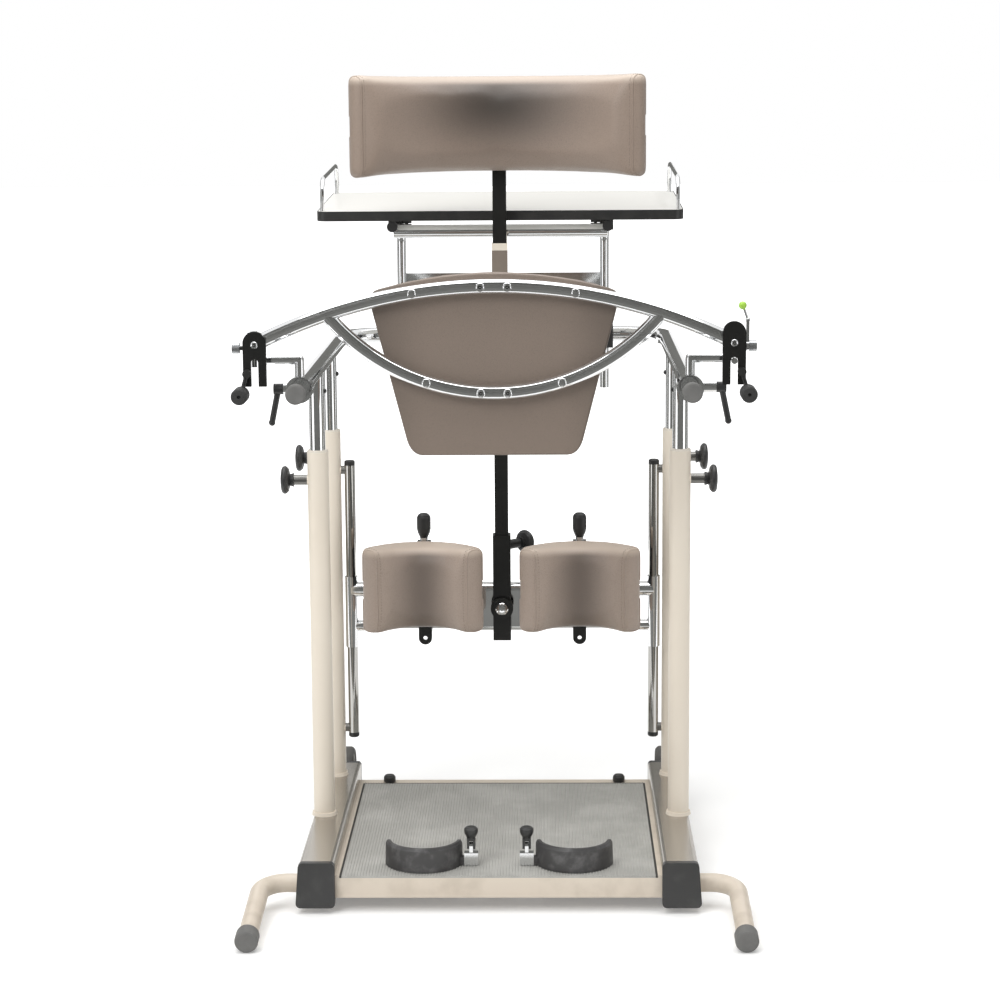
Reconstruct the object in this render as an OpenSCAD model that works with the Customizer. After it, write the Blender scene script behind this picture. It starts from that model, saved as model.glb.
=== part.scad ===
// Standing frame: a person stands on the ribbed mat, held by heel cups, knee pads, a chest pad
// and a padded gate behind the hips, with a tray in front. Millimetres, floor at z = 0.
// +Y points the way the person faces and +X is at the right hand.

/* [Standing surface] */
// Width between the two side rails
deck_w = 560; // [500:5:620]
// Length of the ribbed mat from heel to toe
mat_len = 566; // [500:2:640]
// Height of the mat's top above the floor
mat_top = 65; // [60:1:72]
// Thickness of the mat with its ribs
mat_t = 4; // [3:0.5:6]
// Distance from one mat rib to the next
rib_pitch = 5; // [4:0.5:10]
// Height of a mat rib
rib_h = 1.2; // [0.8:0.1:2]
// Width of the raised lip along each side of the mat
lip_w = 8; // [5:1:14]
// Length of the bare strip behind the mat
strip_len = 34; // [32:1:60]
// Sheet thickness of the pan under the mat
pan_t = 2.5; // [1.5:0.5:4]
// Depth of the pan's folded ends
pan_h = 35; // [29:1:38]
// Width of the two square tubes under the pan
beam_w = 30; // [26:1:32]
// Height of the two square tubes under the pan
beam_h = 25; // [20:1:28]

/* [Side rails] */
// Width of a side rail at its foot
rail_w = 66; // [62:1:80]
// Width of a side rail at its top
rail_top_w = 60; // [58:1:66]
// Height of a side rail
rail_h = 78; // [70:1:90]
// Gap between a side rail and the floor
rail_clear = 12; // [8:1:20]
// Length of a side rail
rail_len = 620; // [600:5:700]
// Wall of a side rail
rail_wall = 3; // [2:0.5:5]
// Corner radius of a side rail
rail_r = 7; // [4:1:10]
// Thickness of a rail's end cap
cap_t = 12; // [8:1:20]
// How far an end cap stands out round the rail
cap_lip = 1; // [0:0.5:2]
// Diameter of the rubber foot under each rail
foot_d = 44; // [30:1:56]

/* [Stabiliser legs] */
// Diameter of a stabiliser leg
leg_d = 32; // [25:1:38]
// Distance from the middle of the frame to a leg's straight end
leg_x = 408; // [395:1:440]
// How far a leg reaches out behind the heel edge
leg_reach = 206; // [150:2:300]
// Height at which a leg leaves its rail
leg_z = 42; // [36:1:50]
// Bend radius of a leg
leg_bend = 45; // [38:1:60]
// Diameter of a leg's rubber tip
tip_d = 39; // [36:1:46]
// Length of a leg's rubber tip
tip_len = 30; // [20:1:50]

/* [Columns] */
// Distance from the middle of the frame to a column
column_x = 321; // [318:1:326]
// Distance from the heel edge to the heel-end columns
near_column = 280; // [200:2:320]
// Distance from the heel edge to the toe-end columns
far_column = 540; // [500:2:570]
// Outer diameter of a column
column_d = 38; // [36:1:42]
// Wall of a column
column_wall = 2; // [1.5:0.5:3]
// Height of a column's top above the floor
column_top = 756; // [700:2:820]
// Diameter of the ring at a column's foot
ring_d = 46; // [44:1:50]
// Height of the ring at a column's foot
ring_h = 6; // [3:1:12]
// Diameter of the telescoping post in a column
post_d = 28; // [25:1:29]
// Length of a post below the column's top
post_in = 390; // [250:5:450]
// Length of the bush that guides a post
bush_len = 36; // [25:1:38]
// Distance of the clamping knobs below a column's top
knob_drop = 51; // [46:1:80]
// Diameter of a clamping knob
knob_d = 50; // [40:1:60]

/* [Guide rods] */
// Distance from the middle of the frame to a guide rod
guide_x = 286; // [284:1:288]
// Diameter of a guide rod
guide_d = 20; // [18:1:22]
// Height of a guide rod's lower end
guide_low = 165; // [140:5:200]
// Length of a guide rod
guide_len = 535; // [500:5:570]
// Diameter of the stubs that carry a guide rod
stub_d = 16; // [10:1:18]

/* [Wheels] */
// Diameter of a transport wheel
wheel_d = 100; // [80:1:105]
// Width of a transport wheel
wheel_w = 24; // [18:1:30]
// Gap between a wheel and the floor while the frame stands
wheel_gap = 2; // [1:1:6]
// Diameter of a wheel's axle
axle_d = 8; // [6:1:12]

/* [Levelling feet] */
// Distance from the middle of the frame to a levelling foot
level_x = 222; // [180:2:250]
// Diameter of a levelling foot's stem
level_d = 10; // [8:1:14]
// Diameter of a levelling foot's knob
level_knob = 23; // [20:1:30]

/* [Heel cups] */
// Distance from the middle of the frame to a heel cup
heel_x = 130; // [126:1:150]
// Outer radius of a heel cup
heel_r = 68; // [60:1:72]
// Wall of a heel cup
heel_wall = 12; // [8:1:18]
// Height of a heel cup
heel_h = 42; // [30:1:60]
// Distance from the heel edge to a heel cup's back
heel_back = 12; // [8:1:30]
// How far a heel cup slides forward
heel_travel = 150; // [80:5:220]

/* [Handrail] */
// Diameter of the handrail
hand_d = 30; // [29:1:34]
// Wall of the chromed tubes
tube_wall = 2; // [1.5:0.5:3]
// Height of the handrail's middle
hand_z = 903; // [870:1:940]
// How far the handrail's ends stand out behind the heel edge
hand_near = 86; // [60:2:140]
// Distance from the heel edge to the handrail's bow
hand_bow = 870; // [820:5:920]
// Bend radius of the handrail's bow
hand_bend = 90; // [60:5:120]

/* [Tray] */
// Width of the tray
tray_w = 680; // [600:5:760]
// Depth of the tray
tray_d = 380; // [340:5:440]
// Thickness of the tray
tray_t = 18; // [12:1:24]
// Height of the tray's top at its near edge
tray_top = 1165; // [1150:1:1200]
// Tilt of the tray, with its far edge higher
tray_tilt = 2.9; // [0:0.1:4]
// Distance from the heel edge to the tray's near edge
tray_near = 545; // [540:1:600]
// Corner radius of the tray
tray_r = 18; // [10:1:40]
// Thickness of the tray's edge band
band_t = 2; // [1:0.5:4]
// Distance from the middle to a tray arm
arm_x = 200; // [170:2:230]
// Diameter of a tray arm and its leg
arm_d = 18; // [16:1:20]
// Height of a tray leg's foot
arm_low = 800; // [700:5:840]
// Bend radius between a tray leg and its arm
arm_bend = 50; // [36:1:60]
// Diameter of the cross tube between the tray arms
cross_d = 25; // [20:1:26]
// Height of the tray's side guards
guard_h = 62; // [50:1:90]
// Diameter of a side guard's rod
guard_d = 8; // [6:1:12]

/* [Knee supports] */
// Height of the upper knee bar
bar_z = 452; // [430:2:480]
// Diameter of the upper knee bar
bar_d = 20; // [18:1:26]
// Distance from the upper knee bar down to the lower one
bar_drop = 70; // [60:1:80]
// Diameter of the lower knee bar
low_bar_d = 12; // [10:1:14]
// Distance from the middle to the middle of a knee pad
knee_x = 146; // [142:1:160]
// Width of a knee pad along its curve
knee_w = 276; // [230:2:290]
// Height of a knee pad
knee_h = 165; // [140:1:175]
// Thickness of a knee pad
knee_t = 50; // [30:1:60]
// Radius of a knee pad's back
knee_r = 142; // [130:1:180]

/* [Mast and chest pad] */
// Width of the square mast
mast_w = 25; // [20:1:30]
// Wall of the mast
mast_wall = 2; // [1.5:0.5:3]
// Wall of the mast's lower sleeve
sleeve_wall = 3.8; // [3:0.1:6]
// Height of the sleeve's foot
sleeve_low = 363; // [350:1:372]
// Length of the mast's lower sleeve
sleeve_len = 200; // [180:1:220]
// Height of the mast's top
mast_top = 1350; // [1330:5:1400]
// Height of the chest pad's middle
chest_z = 1323; // [1310:1:1340]
// Width of the chest pad along its curve
chest_w = 606; // [500:2:640]
// Height of the chest pad at its middle
chest_h = 170; // [140:1:180]
// How much taller the chest pad is at its ends
chest_flare = 14; // [0:1:24]
// Thickness of the chest pad
chest_t = 48; // [30:1:60]
// Radius of the chest pad's back
chest_r = 374; // [320:2:450]

/* [Hip gate] */
// Distance from the middle to a gate plate
plate_x = 390; // [386:1:396]
// Height of the gate's upper bar at its top
gate_top = 1072; // [1040:2:1100]
// Rise of the upper bar between its ends and its top
gate_rise = 92; // [80:1:100]
// Distance from the middle to where the lower bar meets the upper one
gate_join = 274; // [262:1:285]
// Height of the gate's lower bar at its lowest point
gate_low = 898; // [880:1:910]
// Diameter of the gate's bars
gate_d = 25; // [22:1:28]
// How far the gate's bars stand out behind the heel edge
gate_near = 30; // [24:1:36]
// Width of the hip pad at its top
hip_top_w = 423; // [380:1:430]
// Width of the hip pad at its foot
hip_low_w = 278; // [240:1:340]
// Height of the hip pad's foot
hip_low = 789; // [765:1:805]
// Height of the hip pad's shoulders
hip_high = 1064; // [1050:1:1070]
// Rise of the hip pad's top between its shoulders
hip_arch = 33; // [20:1:50]
// Thickness of the hip pad
hip_t = 52; // [30:1:60]
// Thickness of the board behind the hip pad
board_t = 8; // [6:1:12]
// Width of a gate plate
plate_w = 38; // [34:1:40]
// Thickness of a gate plate
plate_t = 8; // [6:1:10]
// Height of a gate plate's foot
plate_low = 912; // [908:1:916]
// Height of a gate plate's top
plate_high = 1015; // [1010:1:1030]
// Height of the carriage bars that reach out to the gate
reach_z = 951; // [950:1:953]

/* [Hidden] */
$fn = 48;

// Running clearances: a turning or sliding round fit, a sliding square fit, a resting gap
turn_gap = 0.05;
slide_gap = 0.2;
rest_gap = 0.3;
// A screw stops this far short of what it presses on
screw_gap = 0.5;
// Overlap that joins two shapes of one solid, and overshoot of a cut
bite = 1;
// A cushion as rings of one outline: [share of the outline, share of the thickness] from back to front
CUSHION = [
  [0.35, 0], [0.65, 0], [0.88, 0], [0.97, 0], [0.985, 0.12], [1, 0.36], [0.995, 0.6], [0.975, 0.78],
  [0.93, 0.91], [0.85, 0.96], [0.65, 0.985], [0.35, 0.997]
];

// The origin lies under the middle of the whole frame, so this is where the mat's heel edge falls
heel_y = (leg_reach - tray_near - tray_d * cos(tray_tilt)) / 2;

// Heights and places of the base
pan_top = mat_top - mat_t;
deck_len = mat_len + strip_len;
rail_x = deck_w / 2;
rail_top = rail_clear + rail_h;
wheel_x = rail_x + rail_top_w / 2;
fork_t = 4;
fork_y = heel_y + rail_len + cap_t;
axle_y = fork_y + fork_t + wheel_d / 2 + 4;
axle_z = wheel_d / 2 + wheel_gap;
leg_run = leg_reach + leg_d;
leg_tilt = asin((leg_z - tip_d / 2) / leg_run);
near_y = heel_y + near_column;
far_y = heel_y + far_column;
knob_z = column_top - knob_drop;
boss_d = 18;
boss_len = 24;
stem_d = 8;
knob_h = 22;
stub_in = 18;
beam_z = pan_top - pan_t - beam_h;
level_y = heel_y + deck_len - pan_t - beam_w / 2;

// Places of the heel cups and their slots
slot_x = heel_x - heel_r - 14;
heel_mid = heel_y + heel_back + heel_r;
heel_bolt = heel_mid - heel_r / 4;
clamp_w = 16;
clamp_h = 28;
heel_pivot = mat_top + clamp_h + 6;

// Places of the handrail, the tray and the arms under it
bow_y = heel_y + hand_bow;
leg_gap = 9;
arm_y = bow_y - hand_d / 2 - leg_gap - arm_d / 2;
arm_z = tray_top - tray_t - 2 - arm_d / 2;
arm_near = tray_near + 8;
cross_y = heel_y + tray_near + 55;
cross_z = arm_z + bite - cross_d / 2;
runner_y = cross_y + cross_d / 2 + 15;
runner_len = 60;
runner_w = 24;
pinch_w = 18;
pinch_x = arm_x - runner_w / 2 - pinch_w / 2;
pinch_knob = 16;
clamp_block = 46;
leg_clamp_w = 34;
leg_knob = 32;
guard_bend = 40;
brace_drop = 86;
brace_h = 28;

// Places of the knee bars and the mast in front of them
knee_bar_y = far_y;
low_bar_z = bar_z - bar_drop;
hub_d = bar_d + 8;
sleeve_w = mast_w + 2 * (slide_gap + sleeve_wall);
mast_y = knee_bar_y - hub_d / 2 - sleeve_w / 2;
disc_d = 42;
disc_t = 6;
disc_z = (bar_z + low_bar_z) / 2 + 8;
disc_bolt = 14;
mast_boss = 22;
mast_screw_end = sleeve_w / sqrt(2) + mast_boss;
mast_screw = sleeve_low + sleeve_len - 22;
mast_knob_d = 45;
slider_d = 25;
strap_t = 6;
strap_w = 25;
shell_t = 5;
shell_h = 0.55 * knee_h;
spacer = 16;
carrier_d = bar_d + 11;
carrier_w = 44;
knee_mid = knee_bar_y - carrier_d / 2 - strap_t - spacer - shell_t - rest_gap - knee_r;
knee_corner = 10;
knee_z = bar_z + 20;
pin_y = knee_bar_y - carrier_d / 2 - strap_t - 10;
pin_z = knee_z + knee_h / 2 - 10;
pin_d = 6;
lug_t = 6;

// Places of the chest pad
chest_shell = 8;
chest_plate = 5;
chest_corner = 12;
chest_mid = mast_y - mast_w / 2 - chest_plate - chest_shell - rest_gap - chest_r;

// Shape of the gate: two arcs that meet near the ends
gate_y = heel_y - gate_near;
gate_r = (plate_x * plate_x + gate_rise * gate_rise) / (2 * gate_rise);
gate_mid = gate_top - gate_r;
gate_end = plate_x + 12;
function upper_z(x) = gate_mid + sqrt(gate_r * gate_r - x * x);
low_rise = upper_z(gate_join) - gate_low;
low_r = (gate_join * gate_join + low_rise * low_rise) / (2 * low_rise);
low_mid = gate_low + low_r;
function lower_z(x) = low_mid - sqrt(low_r * low_r - x * x);
hip_mid = (hip_low + hip_high) / 2;
hip_shoulder = 14;
hip_foot = 22;
bolt_d = 6;
upper_bolts = [22, 133];
lower_bolts = [22, 111];

// The gate swings on a pin on the left carriage, behind the plate, so that the open pad clears the rail
barrel_d = 22;
hinge_d = 12;
hinge_x = plate_x + 5;
hinge_y = gate_y + gate_d / 2 + barrel_d / 2;
reach_d = 16;
seat_h = reach_d + 6;
collar_d = hand_d + 14;
collar_len = 40;
function clamp_out(side) = collar_d / 2 + (side < 0 ? 5 : 21);
catch_d = 10;
plate_front = gate_y - gate_d / 2 - plate_t;
hinge_plate_high = plate_high - 13;
latch_z = plate_low + 63;
latch_x = plate_x + plate_w / 2;
latch_pin = 7;
latch_hub = 4.5;
nut_x = latch_x + latch_hub + 2 * rest_gap;
pivot_x = plate_x + 12;
pivot_z = plate_low + 22;
grip_d = 27;

// Colours
beige = [0.82, 0.77, 0.69];
taupe = [0.56, 0.49, 0.44];
black = [0.13, 0.13, 0.13];
grey = [0.42, 0.42, 0.41];
chrome = [0.80, 0.81, 0.82];
silver = [0.68, 0.68, 0.67];

// Helpers

// The right-hand shape for side 1, its mirror image for side -1
module on_side(side) {
  mirror([side < 0 ? 1 : 0, 0, 0]) children();
}

// The same right-hand shape on both sides
module both_sides() {
  for (side = [-1, 1]) on_side(side) children();
}

// A cylinder along X from x to x + len
module along_x(d, x, len) {
  translate([x, 0, 0]) rotate([0, 90, 0]) cylinder(d = d, h = len);
}

// A cylinder along Y from y to y + len
module along_y(d, y, len) {
  translate([0, y + len, 0]) rotate([90, 0, 0]) cylinder(d = d, h = len);
}

// A box centred on X and Y that stands on z = 0
module block(w, d, h) {
  translate([-w / 2, -d / 2, 0]) cube([w, d, h]);
}

// An outline in X and Z, thickened along Y from y to y + len
module upright(y, len) {
  translate([0, y + len, 0]) rotate([90, 0, 0]) linear_extrude(len) children();
}

function unit(v) = v / norm(v);

// The arc that rounds the corner b between a and c
function corner(a, b, c, r, steps = 5) =
  let (u = unit(a - b))
  let (w = unit(c - b))
  let (half = acos(u * w) / 2)
  let (middle = b + unit(u + w) * r / sin(half))
  let (from = b + u * r / tan(half) - middle)
  let (to = b + w * r / tan(half) - middle)
  [for (i = [0:steps]) middle + r * unit(from * (steps - i) + to * i)];

// An outline with every corner rounded
function rounded(p, r) =
  let (n = len(p))
  [for (i = [0:n - 1]) each corner(p[(i + n - 1) % n], p[i], p[(i + 1) % n], r)];

// A round rod between two points
module rod(a, b, d) {
  v = b - a;
  translate(a) rotate([0, acos(v.z / norm(v)), atan2(v.y, v.x)]) cylinder(d = d, h = norm(v));
}

// A round bar along a route of straight runs, with a bend of one radius at each corner
module bent_bar(route, bend, d) {
  last = len(route) - 1;
  trim = [
    for (i = [0:last])
      i == 0 || i == last ? 0 :
      bend * tan(acos(unit(route[i] - route[i - 1]) * unit(route[i + 1] - route[i])) / 2)
  ];
  for (i = [0:last - 1]) {
    u = unit(route[i + 1] - route[i]);
    rod(route[i] + u * trim[i], route[i + 1] - u * trim[i + 1], d);
  }
  for (i = [1:last - 1]) {
    u = unit(route[i] - route[i - 1]);
    w = unit(route[i + 1] - route[i]);
    n = unit(w - u * (u * w));
    z = cross(-n, u);
    c = route[i] - u * trim[i] + n * bend;
    multmatrix([[-n.x, u.x, z.x, c.x], [-n.y, u.y, z.y, c.y], [-n.z, u.z, z.z, c.z]])
      rotate_extrude(angle = acos(u * w)) translate([bend, 0]) circle(d = d);
  }
}

// A route whose two ends are drawn out
function drawn_out(route, by) =
  let (last = len(route) - 1)
  [
    for (i = [0:last])
      i == 0 ? route[0] - by * unit(route[1] - route[0]) :
      i == last ? route[last] + by * unit(route[last] - route[last - 1]) : route[i]
  ];

// A bent tube that is open at both ends
module bent_tube(route, bend, d, wall) {
  difference() {
    bent_bar(route, bend, d);
    bent_bar(drawn_out(route, bite), bend, d - 2 * wall);
  }
}

// A knob on a stem: the stem runs along +Z from below zero, the head starts at zero
module hand_knob(d, h, stem, stem_len) {
  r = d / 2;
  hub = 0.42 * r;
  edge = 0.3 * h;
  translate([0, 0, -stem_len]) cylinder(d = stem, h = stem_len + bite);
  rotate_extrude() polygon([
    [0, 0], [hub + 2, 0], [hub, 0.3 * h], [0.82 * r, 0.42 * h],
    for (a = [-60:20:80]) [r - edge + edge * cos(a), 0.72 * h + edge * sin(a) * 0.9],
    [0.4 * r, h + 1], [0, h + 1.5]
  ]);
}

// A button-head screw along +Y whose head starts at y = 0 and points to -Y
module button_screw(head, shank, len) {
  rotate([90, 0, 0]) rotate_extrude() polygon([
    [0, -len], [shank / 2, -len], [shank / 2, 0], [head / 2, 0], [head / 2, 1],
    for (a = [15:15:75]) [head / 2 * cos(a), 1 + 0.22 * head * sin(a)],
    [0, 1 + 0.22 * head]
  ]);
}

// A rectangle outline with one corner radius at the top, one at the foot, and points along both edges
function pad_outline(w, h, top, foot, steps) =
  let (x = w / 2)
  let (z = h / 2)
  [
    for (a = [0:22.5:90]) [x - top + top * cos(a), z - top + top * sin(a)],
    for (i = [1:steps - 1]) [(x - top) * (1 - 2 * i / steps), z],
    for (a = [90:22.5:180]) [-x + top + top * cos(a), z - top + top * sin(a)],
    for (a = [180:22.5:270]) [-x + foot + foot * cos(a), -z + foot + foot * sin(a)],
    for (i = [1:steps - 1]) [(x - foot) * (2 * i / steps - 1), -z],
    for (a = [270:22.5:360]) [x - foot + foot * cos(a), -z + foot + foot * sin(a)]
  ];

// The rings' points as [along, depth from the back, up], then the middle of the back and of the front
function cushion_points(outline, t) =
  [
    for (ring = CUSHION, p = outline) [p.x * ring[0], t * ring[1], p.y * ring[0]],
    [0, 0, 0],
    [0, t, 0]
  ];

function cushion_faces(n) =
  let (rings = len(CUSHION))
  [
    for (k = [0:rings - 2], i = [0:n - 1]) each [
      [k * n + i, k * n + (i + 1) % n, (k + 1) * n + i],
      [k * n + (i + 1) % n, (k + 1) * n + (i + 1) % n, (k + 1) * n + i]
    ],
    for (i = [0:n - 1]) [i, rings * n, (i + 1) % n],
    for (i = [0:n - 1]) [(rings - 1) * n + i, (rings - 1) * n + (i + 1) % n, rings * n + 1]
  ];

// A cushion wrapped round a vertical line, hollow side to -Y, with its back on radius r
module wrapped_cushion(outline, t, r) {
  polyhedron(
    [
      for (p = cushion_points(outline, t))
        let (a = p.x / r * 180 / PI) [(r - p.y) * sin(a), (r - p.y) * cos(a), p.z]
    ],
    cushion_faces(len(outline))
  );
}

// A curved sheet round a vertical line, centred on +Y
module shell(r, t, h, half) {
  rotate([0, 0, 90 - half]) rotate_extrude(angle = 2 * half, $fn = 96) translate([r, -h / 2]) square([t, h]);
}

// Base

// Cross section of a side rail on the right, drawn in by inset
module rail_section(inset) {
  low = rail_clear + inset;
  high = rail_top - inset;
  left = rail_x + inset;
  polygon(rounded(
    [[left, low], [rail_x + rail_w - inset, low], [rail_x + rail_top_w - inset, high], [left, high]],
    rail_r - inset
  ));
}

module side_rails() {
  color(silver) both_sides() upright(heel_y, rail_len) difference() {
    rail_section(0);
    rail_section(rail_wall);
  }
}

module rail_end_caps() {
  color(black) both_sides() {
    upright(heel_y - cap_t, cap_t) rail_section(-cap_lip);
    upright(heel_y + rail_len, cap_t) rail_section(0);
    translate([wheel_x, heel_y + foot_d, 0]) cylinder(d1 = foot_d, d2 = foot_d - 6, h = rail_clear);
  }
}

// The slot in which a heel cup's clamp slides
module heel_slots(z, h) {
  w = stem_d + 2 * slide_gap;
  both_sides() translate([slot_x, heel_bolt, z]) {
    translate([-w / 2, 0, 0]) cube([w, heel_travel, h]);
    for (y = [0, heel_travel]) translate([0, y, 0]) cylinder(d = w, h = h);
  }
}

module pan_beam(y) {
  wall = pan_t;
  difference() {
    translate([-rail_x, y, beam_z]) cube([deck_w, beam_w, beam_h]);
    translate([-rail_x - bite, y + wall, beam_z + wall])
      cube([deck_w + 2 * bite, beam_w - 2 * wall, beam_h - 2 * wall]);
  }
}

module foot_pan() {
  color(beige) difference() {
    union() {
      translate([-rail_x, heel_y, pan_top - pan_t]) cube([deck_w, deck_len, pan_t]);
      for (y = [0, deck_len - pan_t])
        translate([-rail_x, heel_y + y, pan_top - pan_h]) cube([deck_w, pan_t, pan_h]);
      both_sides() translate([rail_x - lip_w, heel_y, pan_top - pan_t])
        cube([lip_w, mat_len, pan_t + mat_t]);
      pan_beam(heel_y + pan_t);
      pan_beam(heel_y + deck_len - pan_t - beam_w);
    }
    heel_slots(pan_top - pan_t - bite, pan_t + 2 * bite);
    both_sides() translate([level_x, level_y, 0]) cylinder(d = level_d + 2 * turn_gap, h = mat_top);
  }
}

module foot_mat() {
  w = deck_w - 2 * lip_w;
  ribs = floor(w / rib_pitch);
  start = -ribs * rib_pitch / 2;
  color([0.27, 0.28, 0.28]) difference() {
    upright(heel_y, mat_len) polygon([
      [w / 2, pan_top], [-w / 2, pan_top], [-w / 2, mat_top - rib_h],
      for (i = [0:ribs - 1], p = [[0.25, 0], [0.35, 1], [0.65, 1], [0.75, 0]])
        [start + (i + p.x) * rib_pitch, mat_top - rib_h * (1 - p.y)],
      [w / 2, mat_top - rib_h]
    ]);
    heel_slots(pan_top - bite, mat_t + 2 * bite);
  }
}

// The frame of one leg: its bend lies flat here, and the whole leg then tilts down to the floor
module leg_frame() {
  translate([0, heel_y + leg_d, leg_z]) rotate([leg_tilt, 0, 0]) children();
}

module stabiliser_legs() {
  route = [[rail_x + rail_top_w / 2, 0, 0], [leg_x, 0, 0], [leg_x, -leg_run + 6, 0]];
  color(beige) both_sides() difference() {
    leg_frame() bent_tube(route, leg_bend, leg_d, tube_wall);
    upright(heel_y - bite, rail_len) rail_section(0);
  }
}

module leg_tips() {
  r = tip_d / 2;
  color(grey) both_sides() leg_frame() translate([leg_x, -leg_run, 0]) rotate([-90, 0, 0])
    rotate_extrude() polygon([
    [0, 0], [r - 4, 0], [r - 1.2, 1.2], [r, 4], [r, tip_len - 2], [r - 2, tip_len],
    [leg_d / 2, tip_len], [leg_d / 2, 6], [0, 6]
  ]);
}

// Right-hand columns stand at +X: the knob's boss points out, the stubs for the guide rod point in
module column(y, stubs) {
  translate([column_x, y, 0]) difference() {
    union() {
      translate([0, 0, rail_top]) cylinder(d = column_d, h = column_top - rail_top);
      translate([0, 0, rail_top]) cylinder(d1 = ring_d, d2 = ring_d - 3, h = ring_h);
      translate([0, 0, knob_z]) along_x(boss_d, 0, column_d / 2 + boss_len);
      if (stubs) for (z = [guide_low + stub_in, guide_low + guide_len - stub_in])
        translate([0, 0, z]) along_x(stub_d, guide_x - column_x, column_x - guide_x);
    }
    translate([0, 0, rail_top - bite])
      cylinder(d = column_d - 2 * column_wall, h = column_top - rail_top + 2 * bite);
    translate([0, 0, knob_z]) along_x(stem_d + 2 * turn_gap, 0, column_d / 2 + boss_len + bite);
    translate([guide_x - column_x, 0, 0]) cylinder(d = guide_d, h = column_top);
  }
}

module columns() {
  color(beige) both_sides() {
    column(near_y, false);
    column(far_y, true);
  }
}

module column_bushes() {
  inside = column_d - 2 * column_wall;
  color(grey) both_sides() for (y = [near_y, far_y]) translate([column_x, y, column_top - bush_len])
    difference() {
      union() {
        cylinder(d = inside, h = bush_len);
        translate([0, 0, bush_len]) cylinder(d1 = column_d, d2 = column_d - 2, h = 3);
      }
      translate([0, 0, -bite]) cylinder(d = post_d + 2 * turn_gap, h = bush_len + 3 + 2 * bite);
    }
}

module guide_rods() {
  r = guide_d / 2;
  color(chrome) both_sides() translate([guide_x, far_y, guide_low]) rotate_extrude() polygon([
    [0, 0], [r - 2, 0], [r, 2], [r, guide_len - 2], [r - 2, guide_len], [0, guide_len]
  ]);
}

module wheel_forks() {
  gap = 2;
  cheek = 3;
  lug = 26;
  fork_w = wheel_w + 2 * (gap + cheek);
  outer = fork_w / 2;
  color(silver) both_sides() translate([wheel_x, 0, axle_z]) {
    difference() {
      union() {
        translate([-outer, fork_y, -lug / 2]) cube([fork_w, fork_t, lug]);
        for (x = [-outer, outer - cheek]) {
          translate([x, fork_y, -lug / 2]) cube([cheek, axle_y - fork_y, lug]);
          translate([0, axle_y, 0]) along_x(lug, x, cheek);
        }
      }
      translate([0, axle_y, 0]) along_x(axle_d, -fork_w, 2 * fork_w);
    }
    translate([0, axle_y, 0]) {
      along_x(axle_d, -outer - bite, fork_w + 2 * bite);
      for (x = [-outer - 5, outer]) along_x(axle_d + 6, x, 5);
    }
  }
}

module wheel(side) {
  r = wheel_d / 2;
  half = wheel_w / 2;
  rim = r - 12;
  color(grey) on_side(side) translate([wheel_x, axle_y, axle_z]) rotate([0, 90, 0]) {
    rotate_extrude($fn = 96) polygon([
      [rim, -half + 3], [r - 6, -half], [r - 2, -half + 3], [r, -half + 7],
      [r, half - 7], [r - 2, half - 3], [r - 6, half], [rim, half - 3]
    ]);
    difference() {
      rotate_extrude($fn = 96) polygon([
        [axle_d / 2 + turn_gap, -half], [12, -half], [12, -4], [rim - 5, -4], [rim - 5, -half + 3],
        [rim, -half + 3], [rim, half - 3], [rim - 5, half - 3], [rim - 5, 4], [12, 4],
        [12, half], [axle_d / 2 + turn_gap, half]
      ]);
      for (a = [0:72:288])
        rotate([0, 0, a]) translate([(rim + 7) / 2, 0, -half]) cylinder(d = 12, h = wheel_w);
    }
  }
}

module levelling_foot(side) {
  knob_low = pan_top + 2;
  r = level_knob / 2;
  color(black) on_side(side) translate([level_x, level_y, 0]) rotate_extrude() polygon([
    [0, 0], [18, 0], [18, 4], [level_d / 2 + 2, 10], [level_d / 2, 10], [level_d / 2, knob_low],
    [r, knob_low], [r, knob_low + 9], [r - 3, knob_low + 13], [0, knob_low + 13]
  ]);
}

// The cup wraps the heel, and beside it a clamp grips the pan through the slot
module heel_cup(side) {
  low = mat_top + slide_gap;
  lug = clamp_w / 2;
  base_w = 24;
  color(black) on_side(side) {
    translate([heel_x, heel_mid, low]) rotate([0, 0, 188]) rotate_extrude(angle = 164, $fn = 96) polygon([
      [heel_r - heel_wall, 0], [heel_r, 0], [heel_r - 1, heel_h - 5], [heel_r - 4, heel_h],
      [heel_r - heel_wall + 3, heel_h], [heel_r - heel_wall, heel_h - 4]
    ]);
    translate([slot_x + base_w / 2, heel_bolt - lug, low])
      cube([heel_x - heel_r + heel_wall / 2 - slot_x - base_w / 2, 2 * lug, 14]);
  }
  color(chrome) on_side(side) translate([slot_x, heel_bolt, 0]) difference() {
    union() {
      translate([0, 0, low]) block(base_w, clamp_w, clamp_h - slide_gap - 6);
      translate([0, 0, low]) block(6, clamp_w - 4, heel_pivot - low);
      translate([0, 0, heel_pivot]) along_x(clamp_w - 4, -3, 6);
      cut = pan_top - pan_t - rest_gap;
      translate([0, 0, cut]) cylinder(d = stem_d, h = low - cut + bite);
      translate([0, 0, cut - 6]) cylinder(d = 18, h = 6);
    }
    translate([0, 0, heel_pivot]) along_x(5 + 2 * turn_gap, -clamp_w, 2 * clamp_w);
  }
}

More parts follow.
